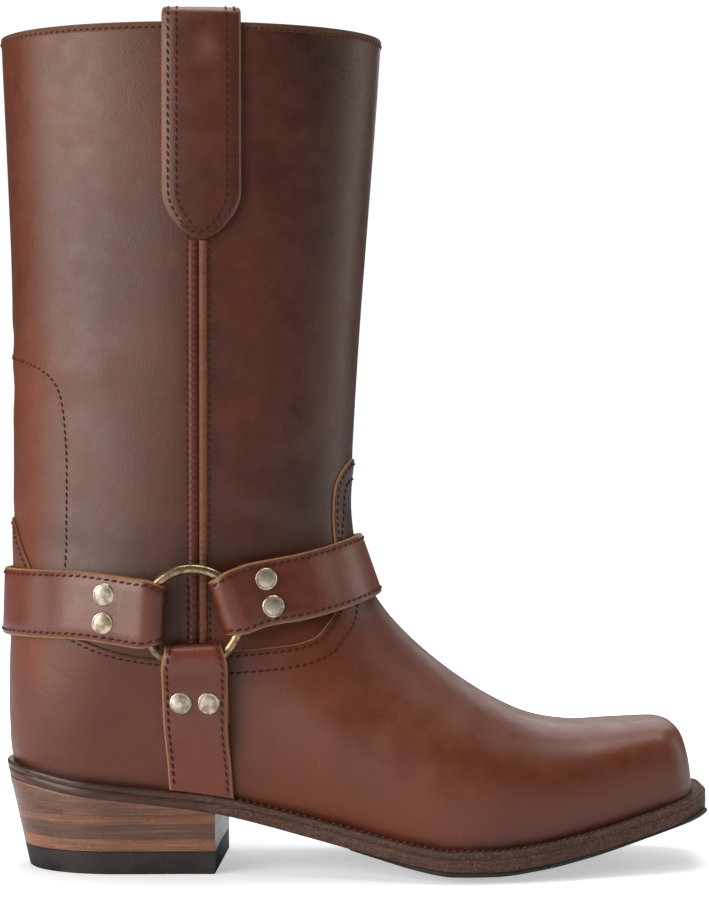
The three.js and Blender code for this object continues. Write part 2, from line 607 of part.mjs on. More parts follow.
// Harness. A strap is a strip bent along a line of (along, height) points: it starts at its tail,
// runs to the ring, folds round the wire, comes back over the tail and goes on along the boot.
const FOLD_RADIUS = (RING_WIRE + 2 * GAP + STRAP_THICKNESS) / 2;
const RING_RADIUS = RING_OUTER_RADIUS - RING_WIRE / 2;
const INNER_CHORD = Math.sqrt((RING_OUTER_RADIUS - RING_WIRE) ** 2 - (FOLD_WIDTH / 2) ** 2);
const FOLD_REACH = INNER_CHORD - GAP - STRAP_THICKNESS;
const RING_LIFT = STRAP_THICKNESS + GAP + RING_WIRE / 2;
const CAVITY_END = RING_OUTER_RADIUS + GAP - FOLD_REACH;
const DOUBLE_HEIGHT = 1.5 * STRAP_THICKNESS + GAP;
function foldLine() {
  const line = [];
  const half = STRAP_THICKNESS / 2;
  const centre = STRAP_THICKNESS / 2 + FOLD_RADIUS;
  for (const along of [FOLD_TAIL, 25, 18]) line.push([along, half]);
  const turns = 6;
  for (let i = 0; i <= turns; i += 1) {
    const angle = (Math.PI * i) / turns;
    line.push([centre - FOLD_RADIUS * Math.sin(angle), half + FOLD_RADIUS * (1 - Math.cos(angle))]);
  }
  const top = half + 2 * FOLD_RADIUS;
  for (const share of [0, 0.4, 1]) {
    line.push([mix(CAVITY_END, 20, share), mix(top, DOUBLE_HEIGHT, smooth(0, 1, share))]);
  }
  for (const along of [26, FOLD_TAIL + 1]) line.push([along, DOUBLE_HEIGHT]);
  for (const share of [0.4, 1]) {
    line.push([FOLD_TAIL + 1 + 7 * share, mix(DOUBLE_HEIGHT, half, smooth(0, 1, share))]);
  }
  return line;
}
const FOLD_LINE = foldLine();

// The strip around a line, with place(along, height, across) giving points of the boot. It narrows
// to FOLD_WIDTH where it folds round the ring.
const stripWidth = (along) => mix(FOLD_WIDTH, STRAP_WIDTH, smooth(1, CAVITY_END + 3, along));
function strip(line, place, columns, widthAt) {
  const faces = [-1, 1].map((side) => (u, v, i) => {
    const [before, after] = [line[Math.max(0, i - 1)], line[Math.min(line.length - 1, i + 1)]];
    const [dx, dy] = [after[0] - before[0], after[1] - before[1]];
    const size = (side * STRAP_THICKNESS) / 2 / Math.hypot(dx, dy);
    return place(line[i][0] - dy * size, line[i][1] + dx * size, (v - 0.5) * widthAt(line[i][0]));
  });
  return solidBetween(line.length - 1, columns, faces[0], faces[1]);
}

// The ring's frame on one side of the boot: its centre lies RING_LIFT over the straps' lower faces
function ringFrame(side) {
  const { point, normal } = sideFace(RING_X, RING_HEIGHT, side);
  let lift = 0;
  for (const x of [-20, 0, 20]) {
    for (const z of [-34, -20, 0, 14]) {
      const near = sideFace(RING_X + x, RING_HEIGHT + z, side).point;
      lift = Math.max(lift, near.sub(point).dot(normal));
    }
  }
  const centre = point.clone().addScaledVector(normal, STRAP_GAP + lift + RING_LIFT);
  return { centre, normal };
}
// In the ring's plane, out from its centre along a heading
function ringPlace(frame, heading, along, height, across) {
  const out = heading.clone().addScaledVector(frame.normal, -heading.dot(frame.normal)).normalize();
  const over = new THREE.Vector3().crossVectors(frame.normal, out);
  return frame.centre
    .clone()
    .addScaledVector(out, FOLD_REACH + along)
    .addScaledVector(over, across)
    .addScaledVector(frame.normal, height - RING_LIFT);
}

// The girth line where a sloping plane meets the upper, from the ring round the front or the back.
// turn: 0 at the outer side's ring, 1 at the inner side's. Returns point and normal for across.
function girth(height, slope, sag, forward) {
  const planeZ = (x, across) => height + slope * (x - RING_X) + across * Math.hypot(1, slope);
  const rows = forward ? [0, LAST_ROW] : [HEEL_ROW, LAST_ROW];
  const names = forward ? ["crownX", "crownZ"] : ["footX", "footZ"];
  const reach = (across) => {
    let [low, high] = rows;
    for (let i = 0; i < 40; i += 1) {
      const middle = (low + high) / 2;
      const s = sectionAt(middle);
      if (s[names[1]] < planeZ(s[names[0]], across)) low = middle;
      else high = middle;
    }
    return sectionAt(low)[names[0]];
  };
  const reaches = new Map();
  const pointAt = (turn, across) => {
    if (!reaches.has(across)) reaches.set(across, reach(across));
    const angle = Math.PI * turn;
    const x = RING_X + (reaches.get(across) - RING_X) * Math.sin(angle);
    const z = planeZ(x, across) - sag * Math.sin(2 * angle) ** 2;
    const side = turn < 0.5 ? -1 : 1;
    const half = Math.abs(turn - 0.5) < 1e-6 ? 0 : halfAt(x, z);
    return new THREE.Vector3(x, upperCentre(x, z) + side * half, z);
  };
  return pointAt;
}

function wrapStrap(name, height, slope, sag, forward) {
  const pointAt = girth(height, slope, sag, forward);
  const steps = 96;
  const reach = STRAP_WIDTH / 2;
  const stations = [];
  for (let i = 0; i <= steps; i += 1) {
    const turn = i / steps;
    const [low, middle, high] = [-reach, 0, reach].map((across) => pointAt(turn, across));
    stations.push({ low, middle, high });
  }
  stations.forEach((s, i) => {
    const before = stations[Math.max(0, i - 1)].middle;
    const after = stations[Math.min(steps, i + 1)].middle;
    const heading = after.clone().sub(before).normalize();
    const over = s.high.clone().sub(s.low).normalize();
    s.normal = new THREE.Vector3().crossVectors(over, heading).normalize();
    if (forward) s.normal.negate();
    const chord = s.low.clone().add(s.high).multiplyScalar(0.5);
    const bulge = s.middle.clone().sub(chord).dot(s.normal);
    if (bulge < 0) s.middle = chord;
    const lift = Math.max(
      0,
      ...["low", "high"].map((edge) => {
        const quarter = pointAt(i / steps, (edge === "low" ? -reach : reach) / 2);
        return quarter.sub(s.middle.clone().add(s[edge]).multiplyScalar(0.5)).dot(s.normal);
      }),
    );
    for (const point of [s.low, s.middle, s.high]) point.addScaledVector(s.normal, lift);
    s.along = i === 0 ? 0 : stations[i - 1].along + s.middle.distanceTo(stations[i - 1].middle);
  });
  const girthLength = stations[steps].along;
  const onBoot = (along, heightOver, across) => {
    let i = 0;
    while (i < steps - 1 && stations[i + 1].along < along) i += 1;
    const [a, b] = [stations[i], stations[i + 1]];
    const share = clamp01((along - a.along) / (b.along - a.along));
    const edge = across < 0 ? "low" : "high";
    const out = Math.abs(across) / reach;
    const from = a.middle.clone().lerp(a[edge], out);
    const to = b.middle.clone().lerp(b[edge], out);
    const normal = a.normal.clone().lerp(b.normal, share).normalize();
    return from.lerp(to, share).addScaledVector(normal, STRAP_GAP + heightOver);
  };
  const frames = [ringFrame(-1), ringFrame(1)];
  const rise = forward ? FRONT_FOLD_SLOPE : (height - RING_HEIGHT) / 60;
  const heading = new THREE.Vector3(forward ? 1 : -1, 0, rise).normalize();
  const total = girthLength - 2 * FOLD_REACH;
  const place = (along, heightOver, across) => {
    const far = along > total / 2;
    const local = far ? total - along : along;
    const up = forward ? 1 : -1;
    const flip = far ? -1 : 1;
    const flat = ringPlace(frames[far ? 1 : 0], heading, local, heightOver, up * flip * across);
    const wrapped = onBoot(FOLD_REACH + along, heightOver, across);
    return flat.lerp(wrapped, smooth(CAVITY_END, CAVITY_END + 14, local));
  };
  const middle = [];
  const inner = FOLD_TAIL + 8;
  const count = Math.round((total - 2 * inner) / 9);
  for (let i = 1; i < count; i += 1) middle.push([mix(inner, total - inner, i / count), STRAP_THICKNESS / 2]);
  const back = FOLD_LINE.map(([along, heightOver]) => [total - along, heightOver]).reverse();
  const widthAt = (along) => stripWidth(Math.min(along, total - along));
  const made = strip([...FOLD_LINE, ...middle, ...back], place, 2, widthAt);
  return { name, solid: made, place, ends: [0, total] };
}

function sideStrap(name, side) {
  const frame = ringFrame(side);
  const drop = RING_HEIGHT - feather(RING_X + SIDE_STRAP_LEAN);
  const heading = new THREE.Vector3(SIDE_STRAP_LEAN, 0, -drop).normalize();
  const length = drop - FOLD_REACH - GAP;
  const place = (along, heightOver, across) => {
    const out = -side * across;
    const flat = ringPlace(frame, heading, along, heightOver, across);
    const share = (along + FOLD_REACH) / drop;
    const x = RING_X + SIDE_STRAP_LEAN * share + out;
    const end = feather(x) + GAP;
    const z = mix(RING_HEIGHT, end, (along + FOLD_REACH) / (length + FOLD_REACH));
    const { point, normal } = sideFace(x, z, side);
    normal.setZ(Math.max(0, normal.z)).normalize();
    const wrapped = point.addScaledVector(normal, STRAP_GAP + heightOver);
    return flat.lerp(wrapped, smooth(CAVITY_END, CAVITY_END + 14, along));
  };
  const line = [...FOLD_LINE];
  const inner = FOLD_TAIL + 8;
  const count = Math.round((length - inner) / 9);
  for (let i = 1; i <= count; i += 1) line.push([mix(inner, length, i / count), STRAP_THICKNESS / 2]);
  return { name, solid: strip(line, place, 2, stripWidth), place, ends: [0] };
}

// A rivet: a domed cap whose shank passes through both layers of a strap, and the bore and pressed-in
// seat that it needs in them
function rivetAt(place, along, across) {
  const deep = 2 * STRAP_THICKNESS + GAP;
  const top = place(along, deep, across);
  const axis = top.clone().sub(place(along, 0, across)).normalize();
  const turned = new THREE.Quaternion().setFromUnitVectors(new THREE.Vector3(0, 1, 0), axis);
  const lathe = (profile, sides) => {
    const points = profile.map(([r, h]) => new THREE.Vector2(r, h));
    const made = welded(new THREE.LatheGeometry(points, sides)).applyQuaternion(turned);
    return outward(made.translate(top.x, top.y, top.z));
  };
  const cap = [
    [0, -deep],
    [RIVET_SHANK_RADIUS, -deep],
    [RIVET_SHANK_RADIUS, GAP],
    [RIVET_RADIUS, GAP],
    [RIVET_RADIUS * 0.8, GAP + RIVET_DOME * 0.75],
    [0, GAP + RIVET_DOME],
  ];
  const room = [
    [0, -deep - 6],
    [RIVET_SHANK_RADIUS + GAP, -deep - 6],
    [RIVET_SHANK_RADIUS + GAP, 0],
    [RIVET_RADIUS + 2 * GAP, 0],
    [RIVET_RADIUS + 2 * GAP, 3],
    [0, 3],
  ];
  return { cap: lathe(cap, 6), room: lathe(room, 6) };
}

const SIDES = [
  ["outer", -1],
  ["inner", 1],
];
const straps = [
  wrapStrap("strap_rear", REAR_STRAP_HEIGHT, 0, 0, false),
  wrapStrap("strap_front", RING_HEIGHT, FRONT_STRAP_SLOPE, FRONT_STRAP_SAG, true),
  ...SIDES.map(([word, side]) => sideStrap(`strap_side_${word}`, side)),
];
for (const strap of straps) {
  let solid = toManifold(strap.solid);
  const fromFold = strap.name === "strap_front" ? FRONT_RIVET_FROM_FOLD : RIVET_FROM_FOLD;
  strap.ends.forEach((end, k) => {
    const along = Math.abs(end - fromFold);
    [-1, 1].forEach((across, n) => {
      const rivet = rivetAt(strap.place, along, (across * RIVET_PITCH) / 2);
      solid = solid.subtract(toManifold(rivet.room));
      const word = strap.ends.length > 1 ? `_${SIDES[k][0]}` : "";
      add(`rivet_${strap.name.slice(6)}${word}_${n + 1}`, rivet.cap, BRASS);
    });
  });
  add(strap.name, fromManifold(solid), STRAP_LEATHER);
}

// Rings
for (const [word, side] of SIDES) {
  const frame = ringFrame(side);
  const ring = welded(new THREE.TorusGeometry(RING_RADIUS, RING_WIRE / 2, 6, 22));
  ring.applyQuaternion(new THREE.Quaternion().setFromUnitVectors(new THREE.Vector3(0, 0, 1), frame.normal));
  ring.translate(frame.centre.x, frame.centre.y, frame.centre.z);
  add(`ring_${word}`, ring, BRASS);
}

// Pull straps: a pointed strip up the outside, over the collar in a loop, and down the inside
for (const [word, side] of SIDES) {
  const over = (UPPER_WALL + GAP + STRAP_GAP + PULL_THICKNESS) / 2;
  const turnZ = COLLAR_HEIGHT + PULL_RISE - PULL_THICKNESS / 2 - over;
  const line = [];
  const legs = 7;
  for (let i = 0; i <= legs; i += 1) {
    const z = mix(COLLAR_HEIGHT - PULL_DROP, COLLAR_HEIGHT - 4, packed((i / legs) * 0.5) * 2);
    line.push({ z, out: GAP + PULL_THICKNESS / 2, width: 1 });
  }
  for (let i = 0; i <= 6; i += 1) {
    const angle = (Math.PI * i) / 6;
    const out = GAP + PULL_THICKNESS / 2 - over * (1 - Math.cos(angle));
    line.push({ z: turnZ + over * Math.sin(angle), out });
  }
  for (const share of [0, 0.5, 1]) {
    const z = mix(COLLAR_HEIGHT - 6, COLLAR_HEIGHT - PULL_INNER_DROP, share);
    line.push({ z, out: GAP + PULL_THICKNESS / 2 - 2 * over });
  }
  const face = (sign) => (u, v, i) => {
    const [before, after] = [line[Math.max(0, i - 1)], line[Math.min(line.length - 1, i + 1)]];
    const [dz, dOut] = [after.z - before.z, after.out - before.out];
    const size = (sign * PULL_THICKNESS) / 2 / Math.hypot(dz, dOut);
    const rise = line[i].z - (COLLAR_HEIGHT - PULL_DROP);
    const inside = i > line.length / 2;
    const narrowing = inside ? 1 : (1 - (1 - clamp01(rise / PULL_POINT)) ** 1.6) ** (1 / 1.6);
    const width = PULL_WIDTH * Math.max(0.04, narrowing);
    const x = PULL_X + (v - 0.5) * width;
    const { point, normal } = sideFace(x, Math.min(COLLAR_HEIGHT, line[i].z), side);
    point.z = line[i].z - dOut * size;
    normal.z = 0;
    return point.addScaledVector(normal.normalize(), line[i].out + dz * size);
  };
  add(`pull_strap_${word}`, solidBetween(line.length - 1, 2, face(-1), face(1)), LEATHER);
}

boot.position.x = -(HEEL_TUCK + HEEL_BREAST) / 2;

export default boot;
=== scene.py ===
import bisect
import math
import bpy
import bmesh
import numpy as np
from mathutils import Matrix, Vector
from mathutils.bvhtree import BVHTree


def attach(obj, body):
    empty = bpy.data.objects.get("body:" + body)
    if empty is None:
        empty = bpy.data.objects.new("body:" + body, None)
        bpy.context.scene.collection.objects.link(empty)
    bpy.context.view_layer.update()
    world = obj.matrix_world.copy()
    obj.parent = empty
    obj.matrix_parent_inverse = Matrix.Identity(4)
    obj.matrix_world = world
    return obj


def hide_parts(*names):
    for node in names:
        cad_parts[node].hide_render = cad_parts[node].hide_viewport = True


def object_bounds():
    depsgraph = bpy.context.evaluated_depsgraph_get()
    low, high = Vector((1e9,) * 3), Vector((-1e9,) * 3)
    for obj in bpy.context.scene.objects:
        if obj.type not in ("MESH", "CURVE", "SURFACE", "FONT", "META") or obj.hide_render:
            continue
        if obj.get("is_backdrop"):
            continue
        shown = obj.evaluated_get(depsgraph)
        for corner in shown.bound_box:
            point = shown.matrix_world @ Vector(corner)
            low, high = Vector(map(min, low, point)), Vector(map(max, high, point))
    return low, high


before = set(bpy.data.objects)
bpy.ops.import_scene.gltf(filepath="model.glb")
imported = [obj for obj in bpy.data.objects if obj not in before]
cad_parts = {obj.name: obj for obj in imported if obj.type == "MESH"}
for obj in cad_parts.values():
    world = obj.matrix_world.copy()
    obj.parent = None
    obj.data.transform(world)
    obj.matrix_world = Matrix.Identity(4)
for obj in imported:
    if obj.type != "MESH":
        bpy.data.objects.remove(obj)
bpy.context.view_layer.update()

# Upper: vamp, counter and shaft of smooth brown waxed leather, pulled over a last and fixed to the welt.
# Its skin is laid over the last's sections, from the front of the toe over the instep to the collar.
# All lengths are millimetres from the back of the welt, and are turned to metres as a mesh is finished.
SOLE_LENGTH = 300
BALL_WIDTH = 103
HEEL_RISE = 30.1
TOE_SPRING = 20
ANKLE_HEIGHT = 158
COLLAR_HEIGHT = 352
COLLAR_LENGTH = 163
COLLAR_DEPTH = 92
COLLAR_OVERHANG = 2.8
UPPER_WALL = 3
WELT_THICKNESS = 2.6
OUTSOLE_THICKNESS = 5.2
OUTSOLE_HEEL_THICKNESS = 3.8
HALF_SOLE_THICKNESS = 4.6
GAP = 0.3
HEEL_MARGIN = 3
SIDE_MARGIN = 4.8
TOE_MARGIN = 7.6
HEEL_ROUND = 43
TOE_CORNER = 12
ORIGIN_FROM_BACK = 50.3


def mix(a, b, share):
    return a + (b - a) * share


def clamp01(value):
    return min(1.0, max(0.0, value))


def smooth(low, high, value):
    share = clamp01((value - low) / (high - low))
    return share * share * (3 - 2 * share)


def steady_curve(points):
    """A curve through (at, value) points that never overshoots them."""
    slopes = [(q[1] - p[1]) / (q[0] - p[0]) for p, q in zip(points, points[1:])]
    tangents = [slopes[0]]
    for before, after in zip(slopes, slopes[1:]):
        tangents.append(0 if before * after <= 0 else 2 * before * after / (before + after))
    tangents.append(slopes[-1])
    starts = [point[0] for point in points]

    def value(place):
        place = min(starts[-1], max(starts[0], place))
        i = min(len(slopes) - 1, max(0, bisect.bisect_left(starts, place) - 1))
        (start, p), (end, q) = points[i], points[i + 1]
        h = end - start
        u = (place - start) / h
        m, n = tangents[i] * h, tangents[i + 1] * h
        return p + u * (m + u * (3 * (q - p) - 2 * m - n + u * (2 * (p - q) + m + n)))

    return value


# Plan of the sole: share of its length, half width and sideways shift as shares of half the ball width
OUTLINE = [
    (0.0, 0.64, 0.0), (0.15, 0.665, 0.0), (0.27, 0.65, -0.01), (0.38, 0.665, -0.04),
    (0.48, 0.76, -0.06), (0.58, 0.92, -0.055), (0.66, 1.0, -0.03), (0.74, 0.965, 0.015),
    (0.82, 0.855, 0.06), (0.9, 0.72, 0.093), (0.96, 0.62, 0.112), (1.0, 0.56, 0.12),
]
half_share = steady_curve([(row[0], row[1]) for row in OUTLINE])
shift_share = steady_curve([(row[0], row[2]) for row in OUTLINE])
heel_share = steady_curve([
    (0, 1.12), (0.05, 1.035), (0.1, 0.945), (0.15, 0.885), (0.3, 0.7), (0.42, 0.425), (0.52, 0.19),
    (0.58, 0.065), (0.63, 0), (1, 0),
])
toe_share = steady_curve([(0, 0), (0.69, 0), (0.75, 0.09), (0.82, 0.27), (0.91, 0.61), (1, 1)])


def sole_bottom(x):
    at = x / SOLE_LENGTH
    return HALF_SOLE_THICKNESS + GAP + heel_share(at) * HEEL_RISE + toe_share(at) * TOE_SPRING


def outsole_top(x):
    share = smooth(0.2, 0.48, x / SOLE_LENGTH)
    return sole_bottom(x) + mix(OUTSOLE_HEEL_THICKNESS, OUTSOLE_THICKNESS, share)


def feather(x):
    return outsole_top(x) + GAP + WELT_THICKNESS + GAP


def centre_line(x):
    return shift_share(x / SOLE_LENGTH) * BALL_WIDTH / 2


def welt_margin(x):
    return mix(HEEL_MARGIN, SIDE_MARGIN, smooth(0.2, 0.55, x / SOLE_LENGTH))


def plan_half(x, back, front, inset, round_, corner):
    half = half_share(x / SOLE_LENGTH) * BALL_WIDTH / 2 - inset
    from_back = clamp01((x - back) / round_)
    half *= (1 - (1 - from_back) ** 2.2) ** (1 / 2.2)
    from_front = min(corner, max(0, front - x))
    return half - corner + math.sqrt(max(0, corner ** 2 - (corner - from_front) ** 2))


# Sections of the last: foot x, crown x, crown z, widest half, level, rise, top and side fullness
FOOT_SECTIONS = [
    (0.969, 0.971, 0.27, 0.52, 0.15, 0.1, 7.0, 7.0),
    (0.96, 0.9645, 0.333, 0.54, 0.17, 0.1, 6.0, 5.5),
    (0.947, 0.955, 0.37, 0.57, 0.2, 0.1, 5.0, 4.4),
    (0.931, 0.938, 0.387, 0.6, 0.25, 0.1, 4.2, 3.6),
    (0.911, 0.914, 0.388, 0.64, 0.3, 0.1, 3.7, 3.1),
    (0.866, 0.861, 0.384, 0.74, 0.32, 0.105, 3.2, 2.8),
    (0.813, 0.804, 0.381, 0.835, 0.32, 0.11, 2.9, 2.6),
    (0.753, 0.745, 0.402, 0.91, 0.32, 0.115, 2.6, 2.4),
    (0.687, 0.687, 0.454, 0.95, 0.33, 0.12, 2.4, 2.2),
    (0.613, 0.634, 0.52, 0.94, 0.34, 0.14, 2.3, 2.1),
    (0.533, 0.59, 0.587, 0.895, 0.36, 0.18, 2.2, 2.1),
    (0.447, 0.555, 0.652, 0.855, 0.38, 0.24, 2.1, 2.05),
    (0.353, 0.528, 0.718, 0.835, 0.4, 0.32, 2.0, 2.0),
    (0.26, 0.5095, 0.785, 0.82, 0.43, 0.4, 2.0, 2.0),
    (0.167, 0.499, 0.848, 0.815, 0.45, 0.45, 2.0, 2.0),
    (0.09, 0.494, 0.905, 0.812, 0.47, 0.48, 2.0, 2.0),
    (0.035, 0.4915, 0.957, 0.812, 0.48, 0.48, 2.0, 2.0),
]
# The shaft's: back x, front x, back z, front z, widest half and its level
SHAFT_SECTIONS = [
    (0.0355, 0.9215, 0.0, 0.0, 0.91, 0.49),
    (0.0245, 0.922, 0.055, 0.04, 0.917, 0.5),
    (0.0235, 0.924, 0.13, 0.083, 0.924, 0.5),
    (0.029, 0.927, 0.217, 0.135, 0.933, 0.5),
    (0.0325, 0.931, 0.325, 0.205, 0.941, 0.5),
    (0.033, 0.9375, 0.44, 0.296, 0.948, 0.5),
    (0.0315, 0.947, 0.565, 0.413, 0.957, 0.5),
    (0.0265, 0.96, 0.69, 0.55, 0.967, 0.5),
    (0.0175, 0.974, 0.802, 0.698, 0.978, 0.5),
    (0.0085, 0.988, 0.905, 0.85, 0.99, 0.5),
    (0.0, 1.0, 1.0, 1.0, 1.0, 0.5),
]
TOE_END = SOLE_LENGTH - TOE_MARGIN
HEEL_SEAT = feather(HEEL_MARGIN)
rows = [
    (TOE_END, feather(TOE_END), TOE_END, feather(TOE_END), BALL_WIDTH / 4, 0.15, 0.1 * ANKLE_HEIGHT, 8, 8)
]
for foot_x, crown_x, crown_z, wide, level, rise, top, side in FOOT_SECTIONS:
    foot = foot_x * SOLE_LENGTH
    crown = max(crown_z * ANKLE_HEIGHT, feather(foot))
    width = wide * BALL_WIDTH / 2
    rows.append(
        (foot, feather(foot), crown_x * SOLE_LENGTH, crown, width, level, rise * ANKLE_HEIGHT, top, side)
    )
HEEL_ROW = len(rows)
for back_x, front_x, back_z, front_z, wide, level in SHAFT_SECTIONS:
    rows.append((
        HEEL_MARGIN if back_z == 0 else back_x * COLLAR_LENGTH - COLLAR_OVERHANG,
        mix(HEEL_SEAT, COLLAR_HEIGHT, back_z),
        front_x * COLLAR_LENGTH - COLLAR_OVERHANG,
        mix(ANKLE_HEIGHT, COLLAR_HEIGHT, front_z),
        wide * COLLAR_DEPTH / 2,
        level,
        0.48 * ANKLE_HEIGHT,
        2,
        2,
    ))
SECTIONS = np.array(rows, dtype=float)
LAST_ROW = len(rows) - 1


def section_at(place):
    i = min(LAST_ROW - 1, max(0, math.floor(place)))
    u = place - i
    a, b, c, d = (SECTIONS[min(LAST_ROW, max(0, k))] for k in (i - 1, i, i + 1, i + 2))
    made = 0.5 * (2 * b + u * (c - a + u * (2 * a - 5 * b + 4 * c - d + u * (3 * b - a - 3 * c + d))))
    made = made.tolist()
    if place < HEEL_ROW:
        made[1] = feather(made[0])
    return made


back_rows = [section_at(HEEL_ROW + k / 8) for k in range(8 * (LAST_ROW - HEEL_ROW) + 1)]
back_line = steady_curve([(row[1], row[0]) for row in back_rows])
toe_line = steady_curve([(row[3], row[2]) for row in rows[:5]])


def section_half(section, t, x, z):
    wide, level, rise, top, side = section[4:]
    low = half_share(x / SOLE_LENGTH) * BALL_WIDTH / 2 - welt_margin(x)
    half = mix(low, wide, math.sin(math.pi / 2 * clamp01((z - feather(x)) / rise)))
    corner = TOE_CORNER - 1
    from_toe = min(corner, max(0, toe_line(z) - x))
    half -= corner - math.sqrt(corner ** 2 - (corner - from_toe) ** 2)
    over = clamp01((t - level) / (1 - level))
    half *= (1 - over ** top) ** (1 / side)
    tall = smooth(HEEL_SEAT, ANKLE_HEIGHT, z)
    round_ = mix(HEEL_ROUND - HEEL_MARGIN, 0.49 * COLLAR_LENGTH, tall)
    power = mix(2.2, 2, tall)
    return half * (1 - (1 - clamp01((x - back_line(z)) / round_)) ** power) ** (1 / power)


def upper_centre(x, z):
    return centre_line(x) * (1 - smooth(0.35 * ANKLE_HEIGHT, 0.85 * ANKLE_HEIGHT, z))


SIDE_SHARE = 0.38


def upper_point(place, around, section=None):
    section = section or section_at(place)
    foot_x, foot_z, crown_x, crown_z, _, level, _, top, _ = section
    a = 1 - abs(around)
    if a < SIDE_SHARE:
        t = level * (1 - math.cos(math.pi / 2 * a / SIDE_SHARE))
    else:
        angle = math.pi / 2 * (a - SIDE_SHARE) / (1 - SIDE_SHARE)
        t = level + (1 - level) * math.sin(angle) ** (2 / top)
    x, z = mix(foot_x, crown_x, t), mix(foot_z, crown_z, t)
    closed = a > 0.9999 or a < 0.0001 and place >= HEEL_ROW
    half = 0 if closed else section_half(section, t, x, z)
    return Vector((x, upper_centre(x, z) + math.copysign(1, around) * half, z))


def section_through(x, z):
    """The place of the section whose line runs through x and z, that section, and the share along it."""
    low, high = 0.01, LAST_ROW
    for _ in range(26):
        middle = (low + high) / 2
        s = section_at(middle)
        if (s[2] - s[0]) * (z - s[1]) - (s[3] - s[1]) * (x - s[0]) > 0:
            low = middle
        else:
            high = middle
    s = section_at(low)
    dx, dz = s[2] - s[0], s[3] - s[1]
    return low, s, clamp01(((x - s[0]) * dx + (z - s[1]) * dz) / (dx * dx + dz * dz))


def half_at(x, z):
    _, section, t = section_through(x, z)
    return section_half(section, t, x, z)


def side_face(x, z, side):
    step = 0.5

    def y(px, pz):
        return upper_centre(px, pz) + side * half_at(px, pz)

    slope_x = (y(x + step, z) - y(x - step, z)) / (2 * step)
    slope_z = (y(x, z + step) - y(x, z - step)) / (2 * step)
    normal = Vector((-slope_x, 1, -slope_z)) * side
    return Vector((x, y(x, z), z)), normal.normalized()


# Where the leather has taken a shape: soft troughs and swells, each as the ends of its line in side
# view, its half width and its depth, with a swell counted negative
CREASES = [
    ((-2, 226), (24, 219), 4.5, 0.45),
    ((20, 214), (44, 206), 9.0, -0.7),
    ((-2, 205), (16, 200), 6.0, 0.35),
    ((20, 136), (60, 131), 4.5, 0.4),
    ((-2, 150), (22, 139), 5.0, 0.35),
    ((96, 150), (128, 140), 5.5, 0.4),
    ((112, 168), (140, 181), 6.0, 0.3),
    ((186, 66), (170, 44), 8.0, 0.55),
    ((203, 58), (190, 38), 7.0, 0.45),
    ((168, 76), (152, 56), 8.0, 0.4),
    ((60, 300), (66, 190), 14.0, 0.35),
    ((108, 320), (104, 200), 16.0, 0.4),
    ((140, 250), (136, 190), 8.0, 0.3),
]


def shaped(x, z, side):
    """How far the leather stands out at a place in side view."""
    out = 0.0
    for k, (start, end, wide, deep) in enumerate(CREASES):
        shift = 2.5 * math.sin(2.1 * k) if side > 0 else 0
        dx, dz = end[0] - start[0], end[1] - start[1]
        along = ((x - start[0]) * dx + (z + shift - start[1]) * dz) / (dx * dx + dz * dz)
        if not -0.4 < along < 1.4:
            continue
        bend = 0.12 * math.hypot(dx, dz) * math.sin(math.pi * clamp01(along)) * (1 if k % 2 else -1)
        off = ((x - start[0]) * dz - (z + shift - start[1]) * dx) / math.hypot(dx, dz) + bend * 0.4
        fade = smooth(-0.4, 0.2, along) * (1 - smooth(0.8, 1.4, along))
        trough = math.exp(-(off / wide) ** 2)
        ridge = math.exp(-((abs(off) - 1.9 * wide) / wide) ** 2)
        out -= deep * fade * (trough - 0.35 * ridge)
    return out


def sheet(columns, lengths, place, paint=None, caps=False, closed=False):
    """A grid whose corners are put in place by their shares across and along it."""
    bm = bmesh.new()
    bmesh.ops.create_grid(bm, x_segments=columns, y_segments=lengths, size=0.5)
    if paint:
        for face in bm.faces:
            middle = face.calc_center_median()
            face.material_index = paint(middle.x + 0.5, middle.y + 0.5)
    for vert in bm.verts:
        vert.co = place(clamp01(vert.co.x + 0.5), clamp01(vert.co.y + 0.5))
    bmesh.ops.remove_doubles(bm, verts=bm.verts, dist=0.015)
    if caps:
        bmesh.ops.holes_fill(bm, edges=[edge for edge in bm.edges if edge.is_boundary], sides=0)
    if closed or caps:
        bmesh.ops.recalc_face_normals(bm, faces=bm.faces)
    bm.normal_update()
    return bm


def finish(name, bm, materials, sharp=None):
    """The piece made of a mesh in millimetres."""
    bmesh.ops.translate(bm, verts=bm.verts, vec=(-ORIGIN_FROM_BACK, 0, 0))
    bmesh.ops.scale(bm, verts=bm.verts, vec=(0.001, 0.001, 0.001))
    mesh = bpy.data.meshes.new(name)
    bm.to_mesh(mesh)
    bm.free()
    for material in materials:
        mesh.materials.append(material)
    for polygon in mesh.polygons:
        polygon.use_smooth = True
    if sharp:
        mesh.set_sharp_from_angle(angle=math.radians(sharp))
    piece = bpy.data.objects.new(name, mesh)
    bpy.context.scene.collection.objects.link(piece)
    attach(piece, "root")
    return piece


def linear(red, green, blue):
    """A colour as it looks on a screen, 0 to 255, as light."""
    return tuple(
        ((c / 255 + 0.055) / 1.055) ** 2.4 if c > 10 else c / 3294.6 for c in (red, green, blue)
    ) + (1,)


def new_group(name, inputs, outputs):
    group = bpy.data.node_groups.new(name, "ShaderNodeTree")
    for label, kind, value in inputs:
        socket = group.interface.new_socket(name=label, in_out="INPUT", socket_type=kind)
        socket.default_value = value
    for label, kind in outputs:
        group.interface.new_socket(name=label, in_out="OUTPUT", socket_type=kind)
    return group, group.nodes.new("NodeGroupInput"), group.nodes.new("NodeGroupOutput")


